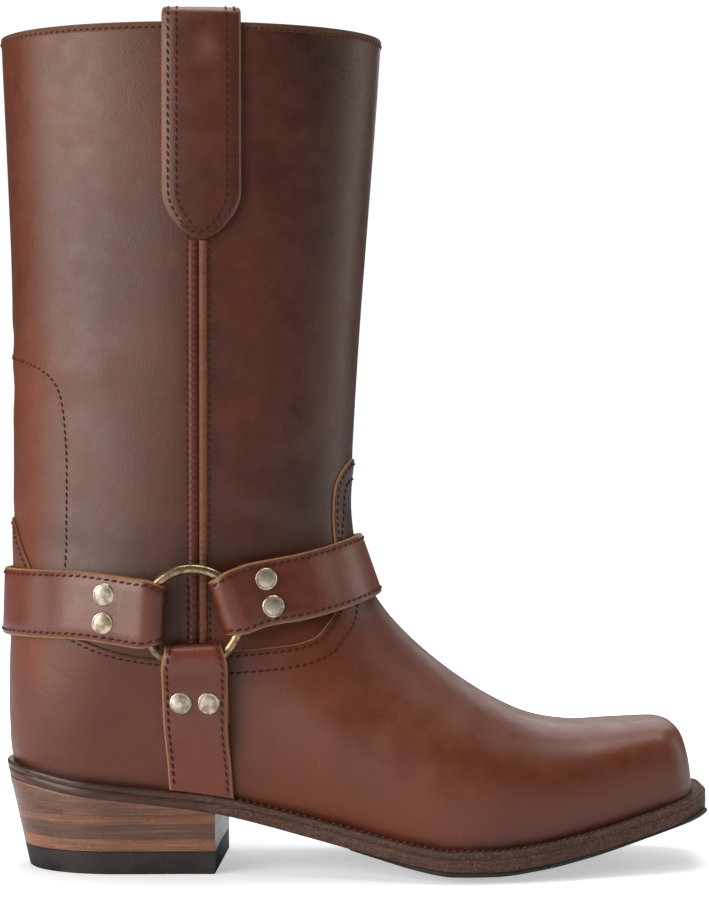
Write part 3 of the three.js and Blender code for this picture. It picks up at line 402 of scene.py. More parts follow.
def put(tree, kind, links=None, **settings):
    """A node with its settings, and its inputs given as values or as other nodes' outputs."""
    node = tree.nodes.new(kind)
    for key, value in settings.items():
        setattr(node, key, value)
    for key, value in (links or {}).items():
        if isinstance(value, bpy.types.NodeSocket):
            tree.links.new(value, node.inputs[key])
        else:
            node.inputs[key].default_value = value
    return node


def blend(tree, factor, first, second, blend_type="MIX"):
    """The output of a colour mix."""
    node = put(tree, "ShaderNodeMix", data_type="RGBA", blend_type=blend_type)
    for index, value in ((0, factor), (6, first), (7, second)):
        if isinstance(value, bpy.types.NodeSocket):
            tree.links.new(value, node.inputs[index])
        else:
            node.inputs[index].default_value = value
    return node.outputs[2]


def ramp(tree, value, low, high, out_low=0.0, out_high=1.0):
    """A value eased from one range to another."""
    node = put(tree, "ShaderNodeMapRange", {0: value, 1: low, 2: high, 3: out_low, 4: out_high})
    node.interpolation_type = "SMOOTHSTEP"
    return node.outputs[0]


def sums(tree, operation, *values):
    """The output of one arithmetic node."""
    return put(tree, "ShaderNodeMath", dict(enumerate(values)), operation=operation).outputs[0]


def noise(tree, where, scale, detail=3.0, rough=0.55):
    return put(
        tree, "ShaderNodeTexNoise",
        {"Vector": where, "Scale": scale, "Detail": detail, "Roughness": rough}
    )


# Leather's own surface, for every leather on the boot: clouded dye, fine grain with pores, and light
# scuffs. It gives a colour, a roughness and a height.
LEATHER, group_in, group_out = new_group(
    "leather_surface",
    [
        ("Deep", "NodeSocketColor", linear(60, 30, 22)),
        ("Body", "NodeSocketColor", linear(100, 55, 38)),
        ("Worn", "NodeSocketColor", linear(150, 96, 70)),
        ("Warmth and shade", "NodeSocketFloat", 0.5),
        ("Wear", "NodeSocketFloat", 0.0),
        ("Gloss", "NodeSocketFloat", 0.4),
    ],
    [("Colour", "NodeSocketColor"), ("Roughness", "NodeSocketFloat"), ("Height", "NodeSocketFloat")],
)
where = put(LEATHER, "ShaderNodeTexCoord").outputs["Object"]
clouds = noise(LEATHER, where, 11, 3).outputs["Fac"]
mottle = noise(LEATHER, where, 110, 4, 0.6).outputs["Fac"]
fine = noise(LEATHER, where, 900, 2, 0.5).outputs["Fac"]
pores = put(LEATHER, "ShaderNodeTexVoronoi", {"Vector": where, "Scale": 1150}, feature="DISTANCE_TO_EDGE")
pebble = ramp(LEATHER, pores.outputs["Distance"], 0.0, 0.22)
stretched = put(
    LEATHER, "ShaderNodeMapping", {"Vector": where, "Scale": (420, 420, 70), "Rotation": (0.3, 0.4, 0)}
)
scratch = ramp(LEATHER, noise(LEATHER, stretched.outputs[0], 1, 3, 0.7).outputs["Fac"], 0.66, 0.78)
tone = sums(LEATHER, "ADD", sums(LEATHER, "MULTIPLY", clouds, 0.75), sums(LEATHER, "MULTIPLY", mottle, 0.25))
# The warmth input shifts the tone; on the upper it also brings in painted shade.
tone = sums(
    LEATHER, "ADD", ramp(LEATHER, tone, 0.2, 0.8, 0.2, 0.8),
    sums(LEATHER, "SUBTRACT", group_in.outputs["Warmth and shade"], 0.5)
)
colour = blend(
    LEATHER, put(LEATHER, "ShaderNodeClamp", {0: tone}).outputs[0], group_in.outputs["Deep"],
    group_in.outputs["Body"]
)
worn = sums(LEATHER, "MULTIPLY", scratch, ramp(LEATHER, clouds, 0.45, 0.62, 0.04, 0.26))
rubbed = sums(LEATHER, "MULTIPLY", group_in.outputs["Wear"], ramp(LEATHER, mottle, 0.3, 0.6, 0.55, 1.0))
worn = sums(LEATHER, "MAXIMUM", worn, rubbed)
colour = blend(LEATHER, worn, colour, group_in.outputs["Worn"])
LEATHER.links.new(colour, group_out.inputs["Colour"])
rough = sums(LEATHER, "ADD", group_in.outputs["Gloss"], ramp(LEATHER, mottle, 0.3, 0.7, -0.05, 0.07))
rough = sums(LEATHER, "ADD", rough, sums(LEATHER, "MULTIPLY", worn, 0.2))
LEATHER.links.new(rough, group_out.inputs["Roughness"])
height = sums(LEATHER, "ADD", sums(LEATHER, "MULTIPLY", pebble, 0.5), sums(LEATHER, "MULTIPLY", fine, 0.5))
height = sums(LEATHER, "ADD", height, sums(LEATHER, "MULTIPLY", mottle, 0.9))
LEATHER.links.new(height, group_out.inputs["Height"])


def leather(name, deep, body, worn_colour, gloss, warmth_and_shade=0.5, wear=0.0, bump=0.16, coat=0.0, shine=0.35):
    """A leather, whose warmth (on the upper, the dye's warmth with painted shade) and wear may each be a vertex
    attribute's name.
    """
    material = bpy.data.materials.new(name)
    material.use_nodes = True
    tree = material.node_tree
    shader = tree.nodes["Principled BSDF"]
    skin = put(tree, "ShaderNodeGroup", node_tree=LEATHER)
    skin.inputs["Deep"].default_value = deep
    skin.inputs["Body"].default_value = body
    skin.inputs["Worn"].default_value = worn_colour
    skin.inputs["Gloss"].default_value = gloss
    for label, value in (("Warmth and shade", warmth_and_shade), ("Wear", wear)):
        if isinstance(value, str):
            source = put(tree, "ShaderNodeAttribute", attribute_name=value)
            tree.links.new(source.outputs["Fac"], skin.inputs[label])
        else:
            skin.inputs[label].default_value = value
    bumps = put(
        tree, "ShaderNodeBump", {"Height": skin.outputs["Height"], "Strength": bump, "Distance": 0.0006}
    )
    tree.links.new(skin.outputs["Colour"], shader.inputs["Base Color"])
    tree.links.new(skin.outputs["Roughness"], shader.inputs["Roughness"])
    tree.links.new(bumps.outputs[0], shader.inputs["Normal"])
    shader.inputs["Coat Weight"].default_value = coat
    shader.inputs["Coat Roughness"].default_value = 0.25
    shader.inputs["Specular IOR Level"].default_value = shine
    return material


UPPER_DEEP = linear(46, 20, 12)
UPPER_BODY = linear(110, 52, 28)
UPPER_WORN = linear(150, 92, 62)
# The upper takes its warmth and painted shade from a vertex attribute.
UPPER_LEATHER = leather(
    "upper_leather", UPPER_DEEP, UPPER_BODY, UPPER_WORN, 0.4, "warmth_and_shade", "wear", coat=0.05, shine=0.5
)

UPPER_ROWS = 236
UPPER_COLUMNS = 236
section_cache = {}


def skin_point(share_around, share_up):
    place = LAST_ROW * share_up
    if place not in section_cache:
        section_cache[place] = section_at(place)
    return upper_point(place, 2 * share_around - 1, section_cache[place])


bm = sheet(UPPER_COLUMNS, UPPER_ROWS, skin_point)
outs = [(vert, vert.normal.copy(), shaped(vert.co.x, vert.co.z, vert.co.y)) for vert in bm.verts]
for vert, normal, out in outs:
    level_off = smooth(0, 10, vert.co.z - feather(vert.co.x)) * smooth(0, 25, COLLAR_HEIGHT + 5 - vert.co.z)
    vert.co += normal * out * level_off
for vert in bm.verts:
    if vert.is_boundary and vert.co.z < 60:
        vert.co.z -= 0.5
bm.normal_update()


def warmth_and_shade_at(x, z):
    """How far the colour goes from dark brown to warm brown at a place in side view: warmer dye low down and in a
    band up the back, painted shade along the welt and over the front of the shaft, and a darker band over the
    side seams.
    """
    warm = 0.38 + 0.3 * (1 - smooth(95, 125, z))
    warm += 0.4 * math.exp(-((x - 12) / 11) ** 2) * smooth(60, 110, z) * (1 - smooth(200, 300, z) * 0.5)
    # Painted shade: darker over the front of the shaft, the side turned away from the key light.
    warm -= 0.26 * smooth(100, 150, x) * smooth(120, 160, z)
    # Painted shade: darker within 5 mm of the welt, where the upper meets it.
    warm -= 0.35 * (1 - smooth(0, 5, z - feather(x)))
    # A darker band over the side seams.
    warm -= 0.2 * math.exp(-((x - 84.7) / 7) ** 2) * smooth(95, 110, z)
    return clamp01(warm)


# Each vertex keeps the dye's warmth together with the painted shade above.
warmth_and_shade = bm.verts.layers.float.new("warmth_and_shade")
wear = bm.verts.layers.float.new("wear")
for vert in bm.verts:
    x, y, z = vert.co
    vert[warmth_and_shade] = warmth_and_shade_at(x, z)
    toe = smooth(262, 288, x) * smooth(20, 34, z - feather(x)) * 0.22
    vert[wear] = clamp01(toe + 0.12 * math.exp(-((x - 190) / 30) ** 2) * smooth(50, 62, z))
SKIN = BVHTree.FromBMesh(bm)
upper = finish("boot_upper", bm, [UPPER_LEATHER])
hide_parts("vamp", "counter", "shaft")


# Lining: smooth natural leather glued inside the shaft and the foot, and the collar's cut edge, where
# upper and lining are trimmed flush and dyed dark.
LINING_LEATHER = leather(
    "lining_leather", linear(120, 78, 48), linear(176, 124, 82), linear(200, 150, 110), 0.55
)
RAW_EDGE = leather(
    "raw_leather_edge", linear(112, 76, 50), linear(182, 136, 96), linear(210, 172, 132), 0.65, bump=0.4
)
DARK_EDGE = leather(
    "dyed_leather_edge", linear(60, 34, 23), linear(108, 68, 46), linear(150, 106, 76), 0.55, bump=0.3
)


def seat(point, trees, reach=30.0):
    """The nearest place on these surfaces, and the way out of it."""
    best = None
    for tree in trees:
        found, normal, _, distance = tree.find_nearest(point, reach)
        if found is not None and (best is None or distance < best[2]):
            best = (found, normal, distance)
    return best[0], best[1]


bm = sheet(90, 90, lambda a, b: upper_point(LAST_ROW * b, 2 * a - 1))
bm.normal_update()
for vert, normal in [(vert, vert.normal.copy()) for vert in bm.verts]:
    if vert.co.z > COLLAR_HEIGHT - 1:
        normal.z = 0
    vert.co -= normal.normalized() * (UPPER_WALL - 0.2)
bmesh.ops.reverse_faces(bm, faces=bm.faces)
lining = finish("shaft_lining", bm, [LINING_LEATHER])


def collar_out(around):
    """A place on the collar's top line and the level way out of it."""
    here = upper_point(LAST_ROW, around)
    near = upper_point(LAST_ROW, min(1, around + 0.004)) - upper_point(LAST_ROW, max(-1, around - 0.004))
    return here, Vector((near.y, -near.x, 0)).normalized()


RIM = [
    (0.05, -3.0), (0.12, -0.5), (-0.15, 0.12), (-0.7, 0.35), (-1.4, 0.25), (-2.2, 0.3), (-2.75, 0.05),
    (-2.95, -2.0)
]


def rim_point(across, along):
    around = 2 * along - 1
    if abs(around) > 0.998:
        here, out = upper_point(LAST_ROW, 1.0), Vector((-1, 0, 0))
    else:
        here, out = collar_out(around)
    off, up = RIM[round(across * (len(RIM) - 1))]
    return here + out * off + Vector((0, 0, up))


rim = finish("collar_edge", sheet(len(RIM) - 1, 260, rim_point, closed=True), [DARK_EDGE])


# Overlays: the vamp with its tongue, and the counter, lie over the shaft. Their cut edges show as a
# step of raw light leather, and the leather is thinned away from the edge until it lies level.
def side_curve(points, side, steps=16):
    """Points of a smooth curve on the upper through (x, z) points in side view."""
    flat_points = [Vector(point) for point in points]
    curve = []
    for i in range(len(flat_points) - 1):
        a, b = flat_points[max(0, i - 1)], flat_points[i]
        c, d = flat_points[i + 1], flat_points[min(len(flat_points) - 1, i + 2)]
        for k in range(steps + (i == len(flat_points) - 2)):
            u = k / steps
            p = 0.5 * (2 * b + u * (c - a + u * (2 * a - 5 * b + 4 * c - d + u * (3 * b - a - 3 * c + d))))
            _, section, t = section_through(p.x, p.y)
            half = 0 if t > 0.99999 else section_half(section, t, p.x, p.y)
            curve.append(Vector((p.x, upper_centre(p.x, p.y) + side * half, p.y)))
    return curve


def evenly(points, pitch):
    """Points at an even pitch along a line."""
    made = [points[0].copy()]
    left = pitch
    for a, b in zip(points, points[1:]):
        length = (b - a).length
        if length < 1e-9:
            continue
        walked = 0.0
        while walked + left <= length:
            walked += left
            made.append(a.lerp(b, walked / length))
            left = pitch
        left -= length - walked
    return made


def running(points, trees):
    """Each point on the surface, with the way along the line and the way out."""
    seated = [seat(point, trees) for point in points]
    made = []
    for i, (point, _) in enumerate(seated):
        near = seated[max(0, i - 2):i + 3]
        out = sum((normal for _, normal in near), Vector()).normalized()
        ahead = near[-1][0] - near[0][0]
        ahead -= out * ahead.dot(out)
        made.append((point, ahead.normalized(), out))
    return made


def overlay_edge(line, inward, section, trees):
    """A strip along a line, with its section given as (distance in, height) from the cut edge."""
    run = running(evenly(line, 1.2), trees)

    def place(across, along):
        index = min(len(run) - 1, round(along * (len(run) - 1)))
        point, ahead, out = run[index]
        off, up = section[round(across * (len(section) - 1))]
        spot, normal = seat(point + out.cross(ahead) * inward * off, trees)
        return spot + normal * up

    def paint(across, along):
        return 1 if across * (len(section) - 1) < 1.99 else 0

    bm = sheet(len(section) - 1, len(run) - 1, place, paint)
    facing = sum(face.normal.dot(seat(face.calc_center_median(), trees)[1]) for face in bm.faces)
    if facing < 0:
        bmesh.ops.reverse_faces(bm, faces=bm.faces)
        bm.normal_update()
    return bm


EDGE_SECTION = [
    (0, -0.4), (-0.05, 0.55), (0.45, 0.95), (1.4, 1.0), (3.2, 0.88), (6, 0.66), (9, 0.42), (12, 0.22),
    (15, 0.07),
    (18, -0.02), (19, -0.25),
]
VAMP_EDGE = [
    (92, 93.8), (97, 94.0), (102.7, 94.4), (110, 95), (117.4, 95.7), (126.8, 97.1), (133.3, 99.9),
    (137.4, 104.6), (140.7, 109.2), (142.3, 116), (141.9, 126.3), (140.2, 138.1), (139.4, 149.1),
    (139.8, 157.8), (140.8, 163.3), (142.9, 167.8), (145.4, 171.2), (147.3, 173.0),
]
COUNTER_EDGE = [
    (76, 91), (69, 90.6), (55.7, 92.4), (45.6, 95), (36.7, 98.5), (27.5, 103.5), (20.2, 114.2),
    (13.4, 127.6), (8.6, 136.7), (5.4, 144.0), (3.2, 148.0),
]
outer_vamp = side_curve(VAMP_EDGE, -1)
inner_vamp = side_curve(VAMP_EDGE, 1)
vamp_line = outer_vamp + inner_vamp[::-1]
outer_counter = side_curve(COUNTER_EDGE, -1)
inner_counter = side_curve(COUNTER_EDGE, 1)
counter_line = outer_counter + inner_counter[::-1]
edge_trees = [SKIN]
for name, line, inward, cut in (
    ("vamp_edge", vamp_line, -1, RAW_EDGE), ("counter_edge", counter_line, 1, DARK_EDGE)
):
    bm = overlay_edge(line, inward, EDGE_SECTION, [SKIN])
    layers = [bm.verts.layers.float.new("warmth_and_shade"), bm.verts.layers.float.new("wear")]
    # The edge strips take the same warmth and painted shade as the upper beneath them.
    for vert in bm.verts:
        vert[layers[0]] = warmth_and_shade_at(vert.co.x, vert.co.z)
    edge_trees.append(BVHTree.FromBMesh(bm))
    piece = finish(name, bm, [UPPER_LEATHER, cut], sharp=40)


# Stitching: waxed thread in lock stitches, each a short bead that dips into the leather at its ends.
def thread(name, colour, light):
    material = bpy.data.materials.new(name)
    material.use_nodes = True
    tree = material.node_tree
    shader = tree.nodes["Principled BSDF"]
    where = put(tree, "ShaderNodeTexCoord").outputs["Object"]
    twist = noise(tree, where, 1400, 2)
    tree.links.new(blend(tree, twist.outputs["Fac"], colour, light), shader.inputs["Base Color"])
    bumps = put(tree, "ShaderNodeBump", {"Height": twist.outputs["Fac"], "Strength": 0.5, "Distance": 0.0003})
    tree.links.new(bumps.outputs[0], shader.inputs["Normal"])
    shader.inputs["Roughness"].default_value = 0.7
    shader.inputs["Specular IOR Level"].default_value = 0.25
    return material


DARK_THREAD = thread("dark_thread", linear(44, 16, 9), linear(88, 41, 26))
LIGHT_THREAD = thread("light_thread", linear(48, 30, 22), linear(108, 78, 60))


def stitched(name, rows_of_stitches, material, long, thick):
    """All stitches of some rows as one piece. Each stitch is a place, the way along and the way out."""
    seed = bmesh.new()
    bmesh.ops.create_uvsphere(seed, u_segments=6, v_segments=5, radius=1)
    corners = np.array([vert.co[:] for vert in seed.verts])
    faces = np.array(
        [[vert.index for vert in face.verts] + [-1] * (4 - len(face.verts)) for face in seed.faces]
    )
    seed.free()
    points, polygons = [], []
    for row in rows_of_stitches:
        for spot, ahead, out in row:
            over = out.cross(ahead)
            lift = corners[:, 0] * thick * 0.42 + thick * 0.25 - thick * 0.55 * corners[:, 2] ** 2
            made = (
                np.outer(corners[:, 2] * long / 2, ahead)
                + np.outer(corners[:, 1] * thick / 2 + corners[:, 2] * thick * 0.28, over)
                + np.outer(lift, out)
            )
            start = len(points)
            points.extend((made + np.array(spot)).tolist())
            polygons.extend([[start + k for k in face if k >= 0] for face in faces.tolist()])
    mesh = bpy.data.meshes.new(name)
    mesh.from_pydata(points, [], polygons)
    bm = bmesh.new()
    bm.from_mesh(mesh)
    bpy.data.meshes.remove(mesh)
    bmesh.ops.recalc_face_normals(bm, faces=bm.faces)
    piece = finish(name, bm, [material])
    return piece


def row_beside(line, offset, pitch, trees):
    """A row of stitches at a distance to the left of a line on the surface."""
    base = running(evenly(line, 1.5), [SKIN])
    moved = []
    for point, ahead, out in base:
        moved.append(seat(point + out.cross(ahead) * offset, [SKIN])[0])
    row = []
    for spot, ahead, out in running(evenly(moved, pitch), [SKIN]):
        best = spot
        for tree in trees:
            hit = tree.ray_cast(spot + out * 3, -out, 5)
            if hit[0] is not None and (hit[0] - best).dot(out) > 0:
                best = hit[0]
        row.append((best, ahead, out))
    return row


BACK_LINE = [
    (-0.6, 217.2), (2.5, 216.4), (4.2, 215.3), (11.2, 213.2), (17.4, 210.5), (22.5, 206.6), (25.7, 201.0),
    (27.3, 194.0), (28.3, 186.2), (29.2, 173.4), (29.2, 160.9), (29.2, 148.1), (28.8, 131.4), (28.6, 120),
]
TONGUE_ROW = [
    (141.6, 128), (142.7, 138), (143.6, 148), (144.1, 156), (144.9, 161.2), (147.0, 164.2),
]
vamp_rows = [
    row_beside(vamp_line, -2.3, 3.0, edge_trees),
    row_beside(vamp_line[:11 * 16], -9.2, 3.0, edge_trees),
    row_beside(vamp_line[-11 * 16:], -9.2, 3.0, edge_trees),
]
tongue = side_curve(TONGUE_ROW, -1) + side_curve(TONGUE_ROW, 1)[::-1]
vamp_rows.append(row_beside(tongue, 0, 3.0, edge_trees))
counter_rows = [row_beside(counter_line, 2.3, 3.0, edge_trees)]
back_stitch_rows = [row_beside(side_curve(BACK_LINE, side), 0, 2.9, []) for side in (-1, 1)]
collar_line = [upper_point(LAST_ROW - 0.12, -1 + 2 * k / 200) for k in range(201)]
collar_rows = [row_beside(collar_line, 0, 2.8, [])]
stitched(
    "upper_stitches", vamp_rows + counter_rows + back_stitch_rows + collar_rows, DARK_THREAD, 2.6, 0.9,
)


# Side seams: front and back of the shaft are joined by two narrow rolled strips on each side, the
# rear one brown and drawn in by its stitches, the front one lighter, with a row of stitches beside each.
SEAM_TAN = leather(
    "seam_strip_tan", linear(72, 36, 22), linear(112, 62, 40), linear(178, 120, 86), 0.5, wear=0.2,
    bump=0.35
)
SEAM_BROWN = leather("seam_strip_brown", linear(60, 28, 17), linear(102, 52, 32), linear(150, 96, 66), 0.42)
SEAM_TOP, SEAM_FOOT = 262.5, 97.5
seam_rows = []
for word, side in (("outer", -1), ("inner", 1)):
    for kind, seam_x, wide, high, pull_in, material in (
        ("rear", 82.6, 4.2, 1.7, 0.2, SEAM_BROWN),
        ("front", 86.7, 3.5, 1.6, 0.22, SEAM_TAN),
    ):
        def bead(across, along):
            z = mix(SEAM_TOP, SEAM_FOOT, along)
            angle = math.pi * across
            drawn = 1 - pull_in * math.cos(math.pi * (z + 0.7 * math.sin(z / 7)) / 2.9) ** 4
            off = -math.cos(angle) * wide / 2 * (0.92 + 0.08 * drawn)
            up = math.sin(angle) ** 0.7 * high * drawn - 0.25
            hit = SKIN.ray_cast(Vector((seam_x + off, side * 200, z)), Vector((0, -side, 0)))
            return hit[0] + Vector((0, side, 0)) * up

        bm = sheet(9, 340, bead)
        if sum(face.normal.y * side for face in bm.faces) < 0:
            bmesh.ops.reverse_faces(bm, faces=bm.faces)
        finish(f"seam_{kind}_{word}", bm, [material])
    for row_x in (80.2, 89.3):
        line = [Vector((row_x, side * 50, mix(SEAM_TOP + 2, SEAM_FOOT, k / 60))) for k in range(61)]
        line = [SKIN.ray_cast(Vector((p.x, side * 200, p.z)), Vector((0, -side, 0)))[0] for p in line]
        seam_rows.append(row_beside(line, 0, 3.0, []))
stitched("seam_stitches", seam_rows, DARK_THREAD, 2.4, 0.8)


# Welt and outsole: leather, the same outline, stitched through along the upper's foot. The edge is
# trimmed and dyed, rough from the middle of the foot on and burnished smooth at the heel.
HEEL_TUCK = 9.8
HEEL_TUCK_HEIGHT = 44


def tuck(z):
    return max(0, HEEL_TUCK * (1 - z / HEEL_TUCK_HEIGHT))


def outline(back, front, inset, round_, corner, per_side=150, across_front=12):
    """The closed plan of a sole piece, from the back along the outer side, over the toe and home."""
    fine = []
    for k in range(601):
        x = back + (front - back) * (1 - math.cos(math.pi * k / 600)) / 2
        fine.append(Vector((x, -plan_half(x, back, front, inset, round_, corner), 0)))
    total = sum((b - a).length for a, b in zip(fine, fine[1:]))
    side = evenly(fine, total / (per_side - 1) * 0.9999)[:per_side]
    outer = [Vector((p.x, centre_line(p.x) + p.y, 0)) for p in side]
    inner = [Vector((p.x, centre_line(p.x) - p.y, 0)) for p in side]
    across = [outer[-1].lerp(inner[-1], k / (across_front + 1)) for k in range(1, across_front + 1)]
    loop = outer + across + inner[:0:-1]
    made = []
    for i, point in enumerate(loop):
        ahead = loop[(i + 1) % len(loop)] - loop[i - 1]
        made.append((point, Vector((-ahead.y, ahead.x, 0)).normalized()))
    return made


def sole_piece(loop, section, tucked=0.0, bridge=(0, -1)):
    """A ring of leather along a plan. section gives (inset, height) at x; its ends are closed over."""
    count = len(loop)
    size = len(section(0))

    def place(across, along):
        point, inward = loop[round(along * count) % count]
        off, z = section(point.x)[min(size - 1, round(across * (size - 1)))]
        spot = point + inward * off
        shift = tucked * tuck(z) * (1 - smooth(0, HEEL_ROUND, spot.x))
        return Vector((spot.x + shift, spot.y, z))

    bm = sheet(size - 1, count, place)
    rims = [edge for edge in bm.edges if edge.is_boundary]
    if bridge:
        seen = set()
        for start in rims:
            if start in seen:
                continue
            chain, stack = [], [start]
            while stack:
                edge = stack.pop()
                if edge in seen:
                    continue
                seen.add(edge)
                chain.append(edge)
                stack += [e for v in edge.verts for e in v.link_edges if e.is_boundary and e not in seen]
            bmesh.ops.holes_fill(bm, edges=chain, sides=0)
    bmesh.ops.triangulate(bm, faces=[face for face in bm.faces if len(face.verts) > 4])
    bmesh.ops.recalc_face_normals(bm, faces=bm.faces)
    return bm


def edge_leather(name, deep, body, worn_colour, burnish_from, burnish_to):
    """A cut leather edge: fibrous and rough, burnished smooth behind a place along the boot."""
    material = bpy.data.materials.new(name)
    material.use_nodes = True
    tree = material.node_tree
    shader = tree.nodes["Principled BSDF"]
    where = put(tree, "ShaderNodeTexCoord").outputs["Object"]
    long = put(tree, "ShaderNodeMapping", {"Vector": where, "Scale": (160, 160, 900)}).outputs[0]
    fibre = noise(tree, long, 1, 4, 0.65).outputs["Fac"]
    grit = noise(tree, where, 1500, 3, 0.65).outputs["Fac"]
    patches = noise(tree, where, 70, 3).outputs["Fac"]
    x = put(tree, "ShaderNodeSeparateXYZ", {0: where}).outputs["X"]
    rough_share = ramp(tree, x, burnish_from, burnish_to)
    colour = blend(tree, ramp(tree, fibre, 0.25, 0.75), deep, body)
    dusty = sums(tree, "MULTIPLY", ramp(tree, grit, 0.48, 0.7), rough_share)
    dusty = sums(tree, "MULTIPLY", dusty, ramp(tree, patches, 0.35, 0.6, 0.35, 0.95))
    colour = blend(tree, dusty, colour, worn_colour)
    tree.links.new(colour, shader.inputs["Base Color"])
    roughness = sums(
        tree, "ADD", sums(tree, "MULTIPLY", rough_share, 0.34), ramp(tree, grit, 0.3, 0.7, 0.3, 0.42)
    )
    tree.links.new(roughness, shader.inputs["Roughness"])
    height = sums(tree, "ADD", sums(tree, "MULTIPLY", grit, rough_share), sums(tree, "MULTIPLY", fibre, 0.3))
    bumps = put(tree, "ShaderNodeBump", {"Height": height, "Strength": 0.55, "Distance": 0.0005})
    tree.links.new(bumps.outputs[0], shader.inputs["Normal"])
    return material


WELT_LEATHER = edge_leather(
    "welt_leather", linear(44, 27, 21), linear(78, 48, 36), linear(124, 96, 80), 0.0, 0.05
)
SOLE_LEATHER = edge_leather(
    "outsole_leather", linear(46, 26, 20), linear(84, 48, 34), linear(126, 96, 76), 0.03, 0.05
)
SOLE_PLAN = outline(0, SOLE_LENGTH - 1, 0, HEEL_ROUND, TOE_CORNER + 8)


def welt_section(x):
    low = outsole_top(x) + 0.03
    top = feather(x) - GAP
    inner = welt_margin(x) + 5 + 3 * smooth(0.7, 1, x / SOLE_LENGTH)
    return [
        (inner, low), (0.2, low), (0.05, low + 0.15), (0, low + 1.4), (0.1, top - 0.6),
        (0.55, top - 0.1), (1.1, top), (inner, top),
    ]


bm = sole_piece(SOLE_PLAN, welt_section, tucked=1.0, bridge=None)
welt = finish("welt_strip", bm, [WELT_LEATHER], sharp=50)
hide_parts("welt")


def outsole_section(x):
    low, top = sole_bottom(x), outsole_top(x)
    return [
        (11, top), (0.25, top), (0.05, top - 0.2), (0, mix(low, top, 0.5)), (0.1, low + 0.3),
        (0.4, low), (11, low)
    ]


bm = sole_piece(SOLE_PLAN, outsole_section, tucked=1.0)
outsole = finish("outsole_layer", bm, [SOLE_LEATHER], sharp=50)
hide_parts("outsole")

welt_row = []
walk = evenly([point + inward * 0.0 for point, inward in SOLE_PLAN], 1.0)
for k in range(0, len(walk) - 3, 3):
    point = walk[k]
    if point.x < 78:
        continue
    ahead = (walk[k + 1] - walk[k - 1]).normalized()
    inward = Vector((-ahead.y, ahead.x, 0))
    margin = TOE_MARGIN if point.x > SOLE_LENGTH - 0.5 else welt_margin(point.x)
    spot = point + inward * min(margin - 1.5, 2.1)
    spot.z = feather(spot.x) - GAP + 0.2
    slope = (feather(spot.x + ahead.x) - feather(spot.x - ahead.x)) / 2
    way = Vector((ahead.x, ahead.y, slope)).normalized()
    welt_row.append((spot, way, Vector((0, 0, 1))))
stitched("welt_stitches", [welt_row], LIGHT_THREAD, 2.3, 1.1)


# Half sole: black rubber glued under the forefoot, from a step behind the ball to the toe.
RUBBER = bpy.data.materials.new("black_rubber")
RUBBER.use_nodes = True
tree = RUBBER.node_tree
shader = tree.nodes["Principled BSDF"]
where = put(tree, "ShaderNodeTexCoord").outputs["Object"]
speckle = noise(tree, where, 700, 4, 0.7).outputs["Fac"]
dust = noise(tree, where, 60, 4, 0.6).outputs["Fac"]
colour = blend(tree, ramp(tree, dust, 0.4, 0.7), linear(24, 22, 21), linear(46, 43, 41))
tree.links.new(
    blend(tree, ramp(tree, speckle, 0.6, 0.75), colour, linear(76, 71, 68)), shader.inputs["Base Color"]
)
tree.links.new(ramp(tree, dust, 0.3, 0.7, 0.5, 0.7), shader.inputs["Roughness"])
bumps = put(tree, "ShaderNodeBump", {"Height": speckle, "Strength": 0.3, "Distance": 0.0004})
tree.links.new(bumps.outputs[0], shader.inputs["Normal"])

HALF_SOLE_START = 0.487 * SOLE_LENGTH
half_sole_thick = steady_curve(
    [(0.487, 0.3), (0.54, 0.6), (0.61, 1.0), (0.71, 1.0), (0.86, 0.75), (1.0, 0.5)]
)
half_plan = outline(HALF_SOLE_START, SOLE_LENGTH - 1.2, 1.2, 0.4, TOE_CORNER, 120)


def half_sole_section(x):
    top = sole_bottom(x) - GAP * 0.5
    thick = half_sole_thick(x / SOLE_LENGTH)
    edge_low = top - thick * 2
    middle_low = top - thick * (HALF_SOLE_THICKNESS - GAP * 0.5)
    return [
        (10, top), (0.3, top), (0, top - 0.3), (0.1, edge_low + 0.4), (0.6, edge_low),
        (4, mix(edge_low, middle_low, 0.3)), (11, mix(edge_low, middle_low, 0.75)),
    ]


half_sole = finish("half_sole_layer", sole_piece(half_plan, half_sole_section), [RUBBER], sharp=50)
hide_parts("half_sole")


# Heel: a wedge and three lifts of sole leather, glued and nailed in a stack, trimmed together and
# burnished, on a rubber top lift.
HEEL_BREAST = 90.8
HEEL_SKEW = 2.4
HEEL_SIDE_TAPER = 0.1


def heel_leather(name, deep, body, light):
    material = bpy.data.materials.new(name)
    material.use_nodes = True
    tree = material.node_tree
    shader = tree.nodes["Principled BSDF"]
    where = put(tree, "ShaderNodeTexCoord").outputs["Object"]
    fibres = put(tree, "ShaderNodeMapping", {"Vector": where, "Scale": (26, 26, 1400)}).outputs[0]
    lines = noise(tree, fibres, 1, 5, 0.7).outputs["Fac"]
    broad = put(tree, "ShaderNodeMapping", {"Vector": where, "Scale": (40, 40, 260)}).outputs[0]
    streaks = noise(tree, broad, 1, 4, 0.6).outputs["Fac"]
    grit = noise(tree, where, 1300, 3, 0.6).outputs["Fac"]
    colour = blend(tree, ramp(tree, streaks, 0.25, 0.75, 0.1, 0.9), deep, body)
    colour = blend(tree, ramp(tree, lines, 0.5, 0.72, 0, 0.55), colour, light)
    colour = blend(tree, ramp(tree, grit, 0.52, 0.75, 0, 0.5), colour, light)
    colour = blend(tree, ramp(tree, lines, 0.42, 0.28, 0, 0.6), colour, linear(44, 25, 18))
    tree.links.new(colour, shader.inputs["Base Color"])
    tree.links.new(ramp(tree, streaks, 0.3, 0.7, 0.3, 0.45), shader.inputs["Roughness"])
    bumps = put(tree, "ShaderNodeBump", {"Height": lines, "Strength": 0.35, "Distance": 0.0004})
    tree.links.new(bumps.outputs[0], shader.inputs["Normal"])
    shader.inputs["Coat Weight"].default_value = 0.2
    return material


